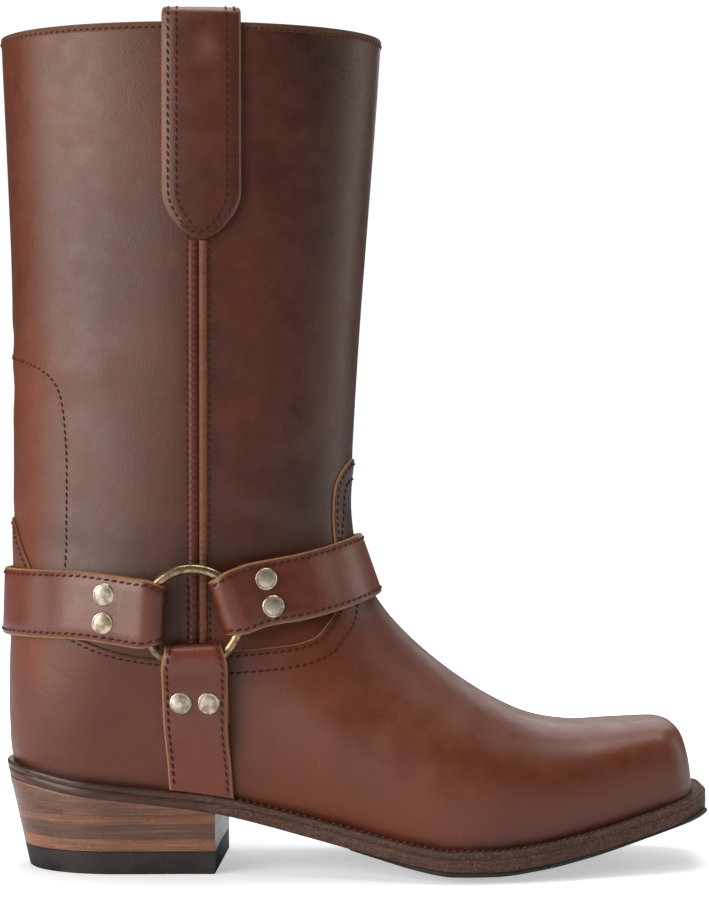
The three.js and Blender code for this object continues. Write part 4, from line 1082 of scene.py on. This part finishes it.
def heel_layer(name, low, high, bevel, material, top_line=None):
    """One layer of the heel between two heights, given at x, and its top edge where that is lighter."""
    middle = high(HEEL_BREAST / 2)
    inset = HEEL_SIDE_TAPER * max(0, HEEL_TUCK_HEIGHT - middle)
    band = 0.8 if top_line else bevel * 0.8
    levels = [(bevel, 0), (0, bevel * 0.8), (0, 0.5), (0, -band), (bevel, 0)]
    per_side, per_breast = 60, 16

    def place(across, along):
        index = round(across * 4)
        inward, up = levels[index]
        count = 2 * per_side + per_breast
        k = round(along * count) % count
        share = min(1, min(k, count - k) / per_side)
        sign = -1 if k <= count / 2 else 1
        v = 0 if sign < 0 else 1
        if min(k, count - k) > per_side:
            v = (k - per_side) / per_breast
            sign = 2 * v - 1
        rough_z = (low(0), low(0), (low(0) + high(0)) / 2, high(0), high(0))[index]
        back = tuck(rough_z) + inward
        front = HEEL_BREAST + HEEL_SKEW * v - inward
        x = mix(back, front, 1 - math.cos(math.pi / 2 * share))
        half = plan_half(x, back, SOLE_LENGTH, inset + inward, HEEL_ROUND - inward, TOE_CORNER)
        z = (low(x), low(x) + up, (low(x) + high(x)) / 2, high(x) + up, high(x))[index]
        return Vector((x, sign * half, z))

    def paint(across, along):
        return 1 if top_line and across > 0.76 else 0

    bm = sheet(4, 2 * per_side + per_breast, place, paint, caps=True)
    bmesh.ops.triangulate(bm, faces=[face for face in bm.faces if len(face.verts) > 4])
    piece = finish(name + "_layer", bm, [material, top_line or material], sharp=45)
    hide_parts(name)
    return piece


def flat(z):
    return lambda x: z


layers = [
    ("heel_lift_1", 9.6, 5.2, (96, 58, 41), (140, 90, 66), (186, 134, 100)),
    ("heel_lift_2", 14.8, 6.2, (68, 42, 33), (102, 68, 53), (138, 98, 76)),
    ("heel_lift_3", 21.0, 3.8, (88, 54, 40), (130, 84, 61), (184, 128, 92)),
]
heel_layer("top_lift", flat(0), flat(9.6), 0.5, RUBBER)
for name, foot, thick, deep, body, light in layers:
    made = heel_leather(name + "_leather", linear(*deep), linear(*body), linear(*light))
    heel_layer(name, flat(foot + 0.01), flat(foot + thick - 0.01), 0.08, made)
made = heel_leather("heel_wedge_leather", linear(72, 44, 34), linear(110, 73, 56), linear(158, 110, 82))
light_line = heel_leather("heel_seat_line", linear(96, 58, 40), linear(142, 94, 66), linear(186, 136, 100))
heel_layer("heel_wedge", flat(24.82), lambda x: sole_bottom(x) - 0.03, 0.1, made, light_line)


# Insole: the CAD's own board, of smooth natural leather, seen only through the collar.
INSOLE = leather(
    "insole_leather_natural", linear(140, 98, 62), linear(188, 138, 92), linear(206, 160, 118), 0.6
)
for slot in bpy.data.objects["insole"].material_slots:
    slot.material = INSOLE


# Harness: thick bridle leather straps with raw light edges, stitched along both edges. Each is folded
# round the ring and held to itself by two rivets.
STRAP_WIDTH = 27
STRAP_THICKNESS = 2.8
STRAP_GAP = 0.65
FOLD_WIDTH = 22
RING_OUTER_RADIUS = 22
RING_WIRE = 4.2
RING_X = 81.8
RING_HEIGHT = 108.6
REAR_STRAP_HEIGHT = 112
REAR_STRAP_LIFT = 0.7
REAR_STRAP_WIDTH = 28.2
FRONT_STRAP_SLOPE = 0.265
FRONT_STRAP_SAG = 1.2
FRONT_FOLD_SLOPE = 0.34
SIDE_STRAP_LEAN = 3.8
RIVET_FROM_FOLD = 24.3
FRONT_RIVET_FROM_FOLD = 22
RIVET_PITCH = 11.6
FOLD_TAIL = 32.5
FOLD_RADIUS = (RING_WIRE + 2 * GAP + STRAP_THICKNESS) / 2
RING_RADIUS = RING_OUTER_RADIUS - RING_WIRE / 2
FOLD_REACH = math.sqrt((RING_OUTER_RADIUS - RING_WIRE) ** 2 - (FOLD_WIDTH / 2) ** 2) - GAP - STRAP_THICKNESS
RING_LIFT = STRAP_THICKNESS + GAP + RING_WIRE / 2
CAVITY_END = RING_OUTER_RADIUS + GAP - FOLD_REACH
DOUBLE_HEIGHT = 1.5 * STRAP_THICKNESS + GAP

STRAP_LEATHER = leather(
    "strap_leather", linear(66, 25, 13), linear(126, 55, 27), linear(168, 104, 66), 0.36, 0.5,
    coat=0.12, shine=0.65
)


def fold_line():
    """The strap's middle line at a fold: (distance from the fold, height over the upper)."""
    half = STRAP_THICKNESS / 2
    line = [(FOLD_TAIL, half), (28, half), (24, half), (20, half), (16, half)]
    centre = half + FOLD_RADIUS
    for k in range(15):
        angle = math.pi * k / 14
        line.append((centre - FOLD_RADIUS * math.sin(angle), half + FOLD_RADIUS * (1 - math.cos(angle))))
    top = half + 2 * FOLD_RADIUS
    for k in range(13):
        share = k / 12
        line.append((mix(8.6, 19, share), mix(top, DOUBLE_HEIGHT, 0.5 * smooth(0, 1, share) + 0.5 * share)))
    line += [
        (21, DOUBLE_HEIGHT), (24, DOUBLE_HEIGHT), (27, DOUBLE_HEIGHT), (30, DOUBLE_HEIGHT),
        (FOLD_TAIL + 1, DOUBLE_HEIGHT)
    ]
    for k in range(1, 9):
        line.append((FOLD_TAIL + 1 + 20 * k / 8, mix(DOUBLE_HEIGHT, half, smooth(0, 1, k / 8))))
    return line


FOLD_LINE = fold_line()


def strip_width(along, full=STRAP_WIDTH):
    return mix(22.4, full, smooth(-1, 9, along))


def strip_section(width, thick):
    """The section of a strap with softened corners, as (across, height) round it."""
    half, soft = width / 2, min(0.75, width / 6)
    top, low = thick / 2, -thick / 2
    upper_side = [-half + soft, -half * 0.6, -half * 0.2, half * 0.2, half * 0.6, half - soft]
    ring = [(a, top) for a in upper_side]
    ring += [(half - 0.2, top - 0.45), (half, top - 0.95), (half, low + 0.95), (half - 0.2, low + 0.45)]
    ring += [(a, low) for a in reversed(upper_side)]
    ring += [(-half + 0.2, low + 0.45), (-half, low + 0.95), (-half, top - 0.95), (-half + 0.2, top - 0.45)]
    return ring


SECTION_SIZE = len(strip_section(STRAP_WIDTH, STRAP_THICKNESS))


def strap_mesh(line, place_at, width_at):
    """A strap bent along a line of (along, height) points."""
    last = len(line) - 1

    def place(across, along):
        i = round(along * last)
        before, after = line[max(0, i - 1)], line[min(last, i + 1)]
        dx, dy = after[0] - before[0], after[1] - before[1]
        size = math.hypot(dx, dy)
        side, up = strip_section(width_at(line[i][0]), STRAP_THICKNESS)[
            round(across * SECTION_SIZE) % SECTION_SIZE
        ]
        return place_at(line[i][0] - dy / size * up, line[i][1] + dx / size * up, side)

    def paint(across, along):
        k = across * SECTION_SIZE
        return 1 if 5.1 < k < 9.9 or 15.1 < k < 19.9 else 0

    return sheet(SECTION_SIZE, last, place, paint, caps=True)


def strap_rows(line, place_at, width_at, start, end, pitch=3.5, margin=2.2):
    """Stitches along both edges of a strap's top, between two places in its line."""
    made = []
    for side in (-1, 1):
        points = []
        for i in range(start, end):
            before, after = line[max(0, i - 1)], line[min(len(line) - 1, i + 1)]
            dx, dy = after[0] - before[0], after[1] - before[1]
            size = math.hypot(dx, dy)
            along, up = line[i][0] - dy / size * STRAP_THICKNESS / 2, line[i][1] + dx / size * STRAP_THICKNESS / 2
            across = side * (width_at(line[i][0]) / 2 - margin)
            spot = place_at(along, up, across)
            under = place_at(line[i][0], line[i][1], across)
            points.append((spot, (spot - under).normalized()))
        lengths = [0]
        for (a, _), (b, _) in zip(points, points[1:]):
            lengths.append(lengths[-1] + (b - a).length)
        row = []
        count = int(lengths[-1] / pitch)
        k = 0
        for n in range(count):
            want = pitch * (n + 0.5)
            while lengths[k + 1] < want:
                k += 1
            share = (want - lengths[k]) / (lengths[k + 1] - lengths[k])
            (a, out_a), (b, out_b) = points[k], points[k + 1]
            row.append((a.lerp(b, share), (b - a).normalized(), out_a.lerp(out_b, share).normalized()))
        made.append(row)
    return made


def ring_frame(side):
    point, normal = side_face(RING_X, RING_HEIGHT, side)
    lift = 0
    for x in (-20, 0, 20):
        for z in (-34, -20, 0, 14):
            near = side_face(RING_X + x, RING_HEIGHT + z, side)[0]
            lift = max(lift, (near - point).dot(normal))
    return point + normal * (STRAP_GAP + lift + RING_LIFT), normal


RING_FRAMES = {side: ring_frame(side) for side in (-1, 1)}


def ring_place(side, heading, along, height, across):
    centre, normal = RING_FRAMES[side]
    out = (heading - normal * heading.dot(normal)).normalized()
    over = normal.cross(out)
    return centre + out * (FOLD_REACH + along) + over * across + normal * (height - RING_LIFT)


def girth(height, slope, sag, forward):
    """The line where a sloping plane meets the upper, from one ring to the other."""
    reaches = {}

    def plane_z(x, across):
        return height + slope * (x - RING_X) + across * math.hypot(1, slope)

    def reach(across):
        low, high = (0, LAST_ROW) if forward else (HEEL_ROW, LAST_ROW)
        first = 2 if forward else 0
        for _ in range(30):
            middle = (low + high) / 2
            s = section_at(middle)
            if s[first + 1] < plane_z(s[first], across):
                low = middle
            else:
                high = middle
        return section_at(low)[first]

    def point_at(turn, across):
        if across not in reaches:
            reaches[across] = reach(across)
        angle = math.pi * turn
        x = RING_X + (reaches[across] - RING_X) * math.sin(angle)
        z = plane_z(x, across) - sag * math.sin(2 * angle) ** 2
        side = -1 if turn < 0.5 else 1
        half = 0 if abs(turn - 0.5) < 1e-6 else half_at(x, z)
        return Vector((x, upper_centre(x, z) + side * half, z))

    return point_at


def wrapped_strap(height, slope, sag, forward):
    """The line and the placing of a strap that runs round the boot from ring to ring."""
    point_at = girth(height, slope, sag, forward)
    steps = 96
    reach = STRAP_WIDTH / 2
    stations = []
    for i in range(steps + 1):
        stations.append([point_at(i / steps, across) for across in (-reach, 0, reach)])
    normals, alongs = [], []
    middles = [station[1].copy() for station in stations]
    for i, station in enumerate(stations):
        ahead = (middles[min(steps, i + 1)] - middles[max(0, i - 1)]).normalized()
        over = (station[2] - station[0]).normalized()
        normal = over.cross(ahead).normalized() * (-1 if forward else 1)
        chord = (station[0] + station[2]) / 2
        if (station[1] - chord).dot(normal) < 0:
            station[1] = chord
        lift = 0
        for edge, across in ((0, -reach), (2, reach)):
            quarter = point_at(i / steps, across / 2)
            lift = max(lift, (quarter - (station[1] + station[edge]) / 2).dot(normal))
        stations[i] = [point + normal * lift for point in station]
        normals.append(normal)
        alongs.append(0 if i == 0 else alongs[-1] + (stations[i][1] - stations[i - 1][1]).length)
    total = alongs[-1] - 2 * FOLD_REACH

    def on_boot(along, height_over, across):
        i = 0
        while i < steps - 1 and alongs[i + 1] < along:
            i += 1
        share = clamp01((along - alongs[i]) / (alongs[i + 1] - alongs[i]))
        edge = 0 if across < 0 else 2
        out = abs(across) / reach
        start = stations[i][1].lerp(stations[i][edge], out)
        end = stations[i + 1][1].lerp(stations[i + 1][edge], out)
        normal = normals[i].lerp(normals[i + 1], share).normalized()
        return start.lerp(end, share) + normal * (STRAP_GAP + height_over)

    rise = FRONT_FOLD_SLOPE if forward else (height - RING_HEIGHT) / 60
    heading = Vector((1 if forward else -1, 0, rise)).normalized()

    def place_at(along, height_over, across):
        across += 0 if forward else REAR_STRAP_LIFT
        far = along > total / 2
        local = total - along if far else along
        up = (1 if forward else -1) * (-1 if far else 1)
        flat_point = ring_place(1 if far else -1, heading, local, height_over, up * across)
        wrapped = on_boot(FOLD_REACH + along, height_over, across)
        return flat_point.lerp(wrapped, smooth(CAVITY_END - 1, CAVITY_END + 26, local))

    inner = FOLD_TAIL + 21
    count = round((total - 2 * inner) / 3)
    middle = [(mix(inner, total - inner, i / count), STRAP_THICKNESS / 2) for i in range(1, count)]
    back = [(total - along, up) for along, up in reversed(FOLD_LINE)]
    line = FOLD_LINE + middle + back
    full = STRAP_WIDTH if forward else REAR_STRAP_WIDTH
    return line, place_at, lambda along: strip_width(min(along, total - along), full), total


def side_strap(side):
    drop = RING_HEIGHT - feather(RING_X + SIDE_STRAP_LEAN)
    heading = Vector((SIDE_STRAP_LEAN, 0, -drop)).normalized()
    length = drop - FOLD_REACH - GAP

    def place_at(along, height_over, across):
        flat_point = ring_place(side, heading, along, height_over, across)
        x = RING_X + SIDE_STRAP_LEAN * (along + FOLD_REACH) / drop - side * across
        z = mix(RING_HEIGHT, feather(x) + GAP, (along + FOLD_REACH) / (length + FOLD_REACH))
        blend_in = smooth(CAVITY_END - 1, CAVITY_END + 26, along)
        if blend_in == 0:
            return flat_point
        point, normal = side_face(x, z, side)
        normal.z = max(0, normal.z)
        return flat_point.lerp(point + normal.normalized() * (STRAP_GAP + height_over), blend_in)

    inner = FOLD_TAIL + 21
    count = max(2, round((length - inner) / 3))
    line = FOLD_LINE + [(mix(inner, length, i / count), STRAP_THICKNESS / 2) for i in range(1, count + 1)]
    return line, place_at, strip_width, length


FOLD_TOP = 12
strap_stitches = []
STRAPS = {
    "strap_rear": wrapped_strap(REAR_STRAP_HEIGHT, 0, 0, False),
    "strap_front": wrapped_strap(RING_HEIGHT, FRONT_STRAP_SLOPE, FRONT_STRAP_SAG, True),
    "strap_side_outer": side_strap(-1),
    "strap_side_inner": side_strap(1),
}
for name, (line, place_at, width_at, length) in STRAPS.items():
    piece = finish(
        name + "_leather", strap_mesh(line, place_at, width_at), [STRAP_LEATHER, RAW_EDGE], sharp=50
    )
    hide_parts(name)
    end = len(line) - FOLD_TOP if "side" not in name else len(line)
    strap_stitches += strap_rows(line, place_at, width_at, FOLD_TOP, end)
stitched("strap_stitches", strap_stitches, DARK_THREAD, 3.0, 1.0)


# Hardware: cast rings and low rivet caps with a rim, in antique brass, dark where hands don't reach; the caps'
# brass is painted paler, near white, as a painted highlight.
def brass(name, deep, bright, roughness):
    material = bpy.data.materials.new(name)
    material.use_nodes = True
    tree = material.node_tree
    shader = tree.nodes["Principled BSDF"]
    where = put(tree, "ShaderNodeTexCoord").outputs["Object"]
    tarnish = noise(tree, where, 260, 5, 0.65).outputs["Fac"]
    speck = noise(tree, where, 1600, 2).outputs["Fac"]
    tree.links.new(blend(tree, ramp(tree, tarnish, 0.36, 0.6), deep, bright), shader.inputs["Base Color"])
    shader.inputs["Metallic"].default_value = 1
    low, high = roughness
    tree.links.new(ramp(tree, tarnish, 0.35, 0.65, high, low), shader.inputs["Roughness"])
    bumps = put(tree, "ShaderNodeBump", {"Height": speck, "Strength": 0.12, "Distance": 0.0002})
    tree.links.new(bumps.outputs[0], shader.inputs["Normal"])
    return material


BRASS = brass("antique_brass_ring", linear(118, 98, 74), linear(180, 156, 122), (0.24, 0.4))
# Rivet caps: the same antique brass painted paler, near white, a painted highlight standing for the light they
# catch.
RIVET_BRASS_PAINTED_HIGHLIGHT = brass("antique_brass_rivet_painted_highlight", linear(154, 140, 120), linear(228, 214, 194), (0.3, 0.42))
for word, side in (("outer", -1), ("inner", 1)):
    centre, normal = RING_FRAMES[side]
    bm = bmesh.new()
    bmesh.ops.create_circle(bm, segments=16, radius=RING_WIRE / 2)
    bmesh.ops.rotate(bm, verts=bm.verts, cent=(0, 0, 0), matrix=Matrix.Rotation(math.pi / 2, 3, "X"))
    bmesh.ops.translate(bm, verts=bm.verts, vec=(RING_RADIUS, 0, 0))
    bmesh.ops.spin(
        bm, geom=bm.verts[:] + bm.edges[:], cent=(0, 0, 0), axis=(0, 0, 1), angle=2 * math.pi, steps=80,
        use_merge=True,
    )
    bmesh.ops.remove_doubles(bm, verts=bm.verts, dist=0.01)
    bmesh.ops.recalc_face_normals(bm, faces=bm.faces)
    turn = Vector((0, 0, 1)).rotation_difference(normal).to_matrix()
    bmesh.ops.rotate(bm, verts=bm.verts, cent=(0, 0, 0), matrix=turn)
    bmesh.ops.translate(bm, verts=bm.verts, vec=centre)
    ring = finish(f"ring_{word}_cast", bm, [BRASS])
    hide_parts(f"ring_{word}")

CAP_PROFILE = [
    (0.0, 1.42), (1.6, 1.4), (2.7, 1.3), (3.3, 1.18), (3.6, 1.12), (3.9, 1.2), (4.25, 1.1),
    (4.55, 0.75), (4.7, 0.3),
    (4.65, -0.3), (4.4, -0.6), (0.0, -0.6),
]


def cap_mesh(place_at, along, across):
    deep = 2 * STRAP_THICKNESS + GAP
    foot = place_at(along, deep, across)
    axis = (foot - place_at(along, 0, across)).normalized()
    bm = bmesh.new()
    profile = [bm.verts.new((r, 0, h)) for r, h in CAP_PROFILE]
    for a, b in zip(profile, profile[1:]):
        bm.edges.new((a, b))
    bmesh.ops.spin(
        bm, geom=bm.verts[:] + bm.edges[:], cent=(0, 0, 0), axis=(0, 0, 1), angle=2 * math.pi, steps=30,
        use_merge=True,
    )
    bmesh.ops.remove_doubles(bm, verts=bm.verts, dist=0.01)
    bmesh.ops.recalc_face_normals(bm, faces=bm.faces)
    bmesh.ops.rotate(
        bm, verts=bm.verts, cent=(0, 0, 0),
        matrix=Vector((0, 0, 1)).rotation_difference(axis).to_matrix()
    )
    bmesh.ops.translate(bm, verts=bm.verts, vec=foot + axis * 0.05)
    return bm


for name, (line, place_at, width_at, length) in STRAPS.items():
    from_fold = FRONT_RIVET_FROM_FOLD if name == "strap_front" else RIVET_FROM_FOLD
    ends = [("", 0)] if "side" in name else [("_outer", 0), ("_inner", length)]
    for word, end in ends:
        for n, across in enumerate((-RIVET_PITCH / 2, RIVET_PITCH / 2)):
            node = f"rivet_{name[6:]}{word}_{n + 1}"
            piece = finish(node + "_cap", cap_mesh(place_at, abs(end - from_fold), across), [RIVET_BRASS_PAINTED_HIGHLIGHT])
            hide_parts(node)


# Pull straps: a pointed strip of upper leather doubled over itself, up the outside, over the collar in
# a loop and down the inside, with two rows of stitches along each edge and raw light edges.
PULL_X = 86
PULL_WIDTH = 32
PULL_THICKNESS = 2.6
PULL_DROP = 89
PULL_INNER_DROP = 70
PULL_RISE = 6.4
PULL_POINT = 19
PULL_EDGE = leather(
    "pull_strap_edge", linear(86, 52, 36), linear(150, 104, 76), linear(190, 142, 108), 0.6, bump=0.3
)
PULL_LEATHER = leather(
    "pull_strap_leather", linear(54, 27, 19), linear(100, 53, 38), linear(146, 88, 60), 0.34, 0.5,
    wear="wear", coat=0.1, shine=0.45
)


def pull_line():
    over = (UPPER_WALL + GAP + STRAP_GAP + PULL_THICKNESS) / 2
    turn_z = COLLAR_HEIGHT + PULL_RISE - PULL_THICKNESS / 2 - over
    line = []
    for k in range(30):
        share = k / 29
        z = mix(COLLAR_HEIGHT - PULL_DROP, COLLAR_HEIGHT - 4, share ** 1.25)
        line.append((z, GAP + PULL_THICKNESS / 2))
    for k in range(15):
        angle = math.pi * k / 14
        line.append(
            (turn_z + over * math.sin(angle), GAP + PULL_THICKNESS / 2 - over * (1 - math.cos(angle)))
        )
    for k in range(16):
        line.append(
            (mix(COLLAR_HEIGHT - 6, COLLAR_HEIGHT - PULL_INNER_DROP, k / 15), GAP + PULL_THICKNESS / 2 - 2 * over)
        )
    return line


PULL_LINE = pull_line()


def pull_width(i):
    rise = PULL_LINE[i][0] - (COLLAR_HEIGHT - PULL_DROP)
    if i > len(PULL_LINE) / 2:
        return PULL_WIDTH
    return PULL_WIDTH * max(0.04, (1 - (1 - clamp01(rise / PULL_POINT)) ** 1.6) ** (1 / 1.6))


pull_faces = {}


def pull_place(side, i, across, up):
    last = len(PULL_LINE) - 1
    before, after = PULL_LINE[max(0, i - 1)], PULL_LINE[min(last, i + 1)]
    dz, out = after[0] - before[0], after[1] - before[1]
    size = math.hypot(dz, out)
    z, off = PULL_LINE[i]
    x = PULL_X + across
    level = min(COLLAR_HEIGHT, z)
    key = (side, round(x, 2), round(level, 2))
    if key not in pull_faces:
        pull_faces[key] = side_face(x, level, side)
    point, normal = pull_faces[key]
    normal = Vector((normal.x, normal.y, 0)).normalized()
    spot = Vector((point.x, point.y, z - out / size * up))
    return spot + normal * (off + dz / size * up)


pull_stitches = []
for word, side in (("outer", -1), ("inner", 1)):
    last = len(PULL_LINE) - 1

    def place(across, along):
        i = round(along * last)
        a, up = strip_section(STRAP_WIDTH, PULL_THICKNESS)[round(across * SECTION_SIZE) % SECTION_SIZE]
        return pull_place(side, i, a / STRAP_WIDTH * pull_width(i), up)

    def paint(across, along):
        k = across * SECTION_SIZE
        return 1 if 5.1 < k < 9.9 or 15.1 < k < 19.9 or along < 0.004 else 0

    bm = sheet(SECTION_SIZE, last, place, paint, caps=True)
    wear = bm.verts.layers.float.new("wear")
    for vert in bm.verts:
        spot = math.exp(-((vert.co.x - 89.5) / 3) ** 2 - ((vert.co.z - 343) / 6) ** 2)
        vert[wear] = clamp01(0.35 * spot + 0.12 * smooth(352, 357, vert.co.z))
    piece = finish(f"pull_strap_{word}_leather", bm, [PULL_LEATHER, PULL_EDGE], sharp=50)
    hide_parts(f"pull_strap_{word}")
    for margin in (2.6, 6.0):
        points = []
        order = [(i, -1) for i in range(last, 1, -1)] + [(i, 1) for i in range(2, last + 1)]
        for i, sign in order:
            reach = pull_width(i) / 2 - margin
            if reach < 0.4:
                continue
            spot = pull_place(side, i, sign * reach, PULL_THICKNESS / 2)
            points.append((spot, (spot - pull_place(side, i, sign * reach, 0)).normalized()))
        lengths = [0]
        for (a, _), (b, _) in zip(points, points[1:]):
            lengths.append(lengths[-1] + (b - a).length)
        k, row = 0, []
        for n in range(int(lengths[-1] / 3.2)):
            want = 3.2 * (n + 0.5)
            while lengths[k + 1] < want:
                k += 1
            (a, out_a), (b, out_b) = points[k], points[k + 1]
            share = (want - lengths[k]) / (lengths[k + 1] - lengths[k])
            row.append((a.lerp(b, share), (b - a).normalized(), out_a.lerp(out_b, share).normalized()))
        pull_stitches.append(row)
stitched("pull_strap_stitches", pull_stitches, DARK_THREAD, 2.7, 0.85)


# Stage: a pale floor with a painted glow that only the camera sees, soft lights from the left, the right, above
# and behind, and the photo's camera.
bm = bmesh.new()
bmesh.ops.create_grid(bm, x_segments=1, y_segments=1, size=4)
mesh = bpy.data.meshes.new("floor")
bm.to_mesh(mesh)
bm.free()
floor = bpy.data.objects.new("floor", mesh)
bpy.context.scene.collection.objects.link(floor)
paper = bpy.data.materials.new("white_paper")
paper.use_nodes = True
tree = paper.node_tree
shader = tree.nodes["Principled BSDF"]
shader.inputs["Base Color"].default_value = (0.84, 0.9, 0.97, 1)
shader.inputs["Roughness"].default_value = 0.9
shader.inputs["Specular IOR Level"].default_value = 0.1
shader.inputs["Emission Strength"].default_value = 1.0
# Painted light: the floor glows for camera rays only, at about half strength near the boot and fully from 0.6 m
# out, so it reads white.
where = put(tree, "ShaderNodeTexCoord").outputs["Object"]
centred = put(tree, "ShaderNodeMapping", {"Vector": where, "Location": (-0.1, 0, 0)}).outputs[0]
away = put(tree, "ShaderNodeVectorMath", {0: centred}, operation="LENGTH").outputs["Value"]
glow = ramp(tree, away, 0.22, 0.6, 0.46, 1.0)
seen = put(tree, "ShaderNodeLightPath").outputs["Is Camera Ray"]
glow = sums(tree, "MULTIPLY", glow, seen)
tree.links.new(blend(tree, glow, (0, 0, 0, 1), (1, 1, 1, 1)), shader.inputs["Emission Color"])
mesh.materials.append(paper)
floor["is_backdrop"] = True

world = bpy.data.worlds.new("studio")
bpy.context.scene.world = world
world.use_nodes = True
tree = world.node_tree
sky = tree.nodes["Background"]
sky.inputs["Color"].default_value = (1, 1, 1, 1)
seen = put(tree, "ShaderNodeLightPath").outputs["Is Camera Ray"]
tree.links.new(ramp(tree, seen, 0, 1, 0.1, 1.05), sky.inputs["Strength"])


def soft_light(name, place, target, wide, high, power, colour=(1, 1, 1)):
    data = bpy.data.lights.new(name, "AREA")
    data.shape = "RECTANGLE"
    data.size = wide
    data.size_y = high
    data.energy = power
    data.color = colour
    light = bpy.data.objects.new(name, data)
    light.location = place
    light.rotation_euler = (Vector(target) - Vector(place)).to_track_quat("-Z", "Y").to_euler()
    bpy.context.scene.collection.objects.link(light)


soft_light("left_light", (-1.25, -1.05, 0.5), (0.05, 0, 0.16), 1.5, 1.4, 37, (1, 0.91, 0.83))
soft_light("right_light", (1.7, 0.25, 0.6), (0.12, 0, 0.15), 0.8, 1.2, 7, (1, 0.91, 0.83))
soft_light("top_light", (0.15, 0.1, 1.7), (0.1, 0, 0.1), 1.2, 1.0, 20, (1, 0.95, 0.9))
soft_light("back_light", (0.1, 1.4, 1.0), (0.1, 0, 0.15), 1.6, 1.2, 10)

camera_data = bpy.data.cameras.new("camera")
camera_data.lens = 36 * 950 / 387
camera_data.sensor_width = 36
camera = bpy.data.objects.new("camera", camera_data)
camera.location = (0.0985, -0.950, 0.1767)
camera.rotation_euler = (math.pi / 2, 0, 0)
bpy.context.scene.collection.objects.link(camera)
bpy.context.scene.camera = camera
bpy.context.scene.view_settings.view_transform = "Standard"

low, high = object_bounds()
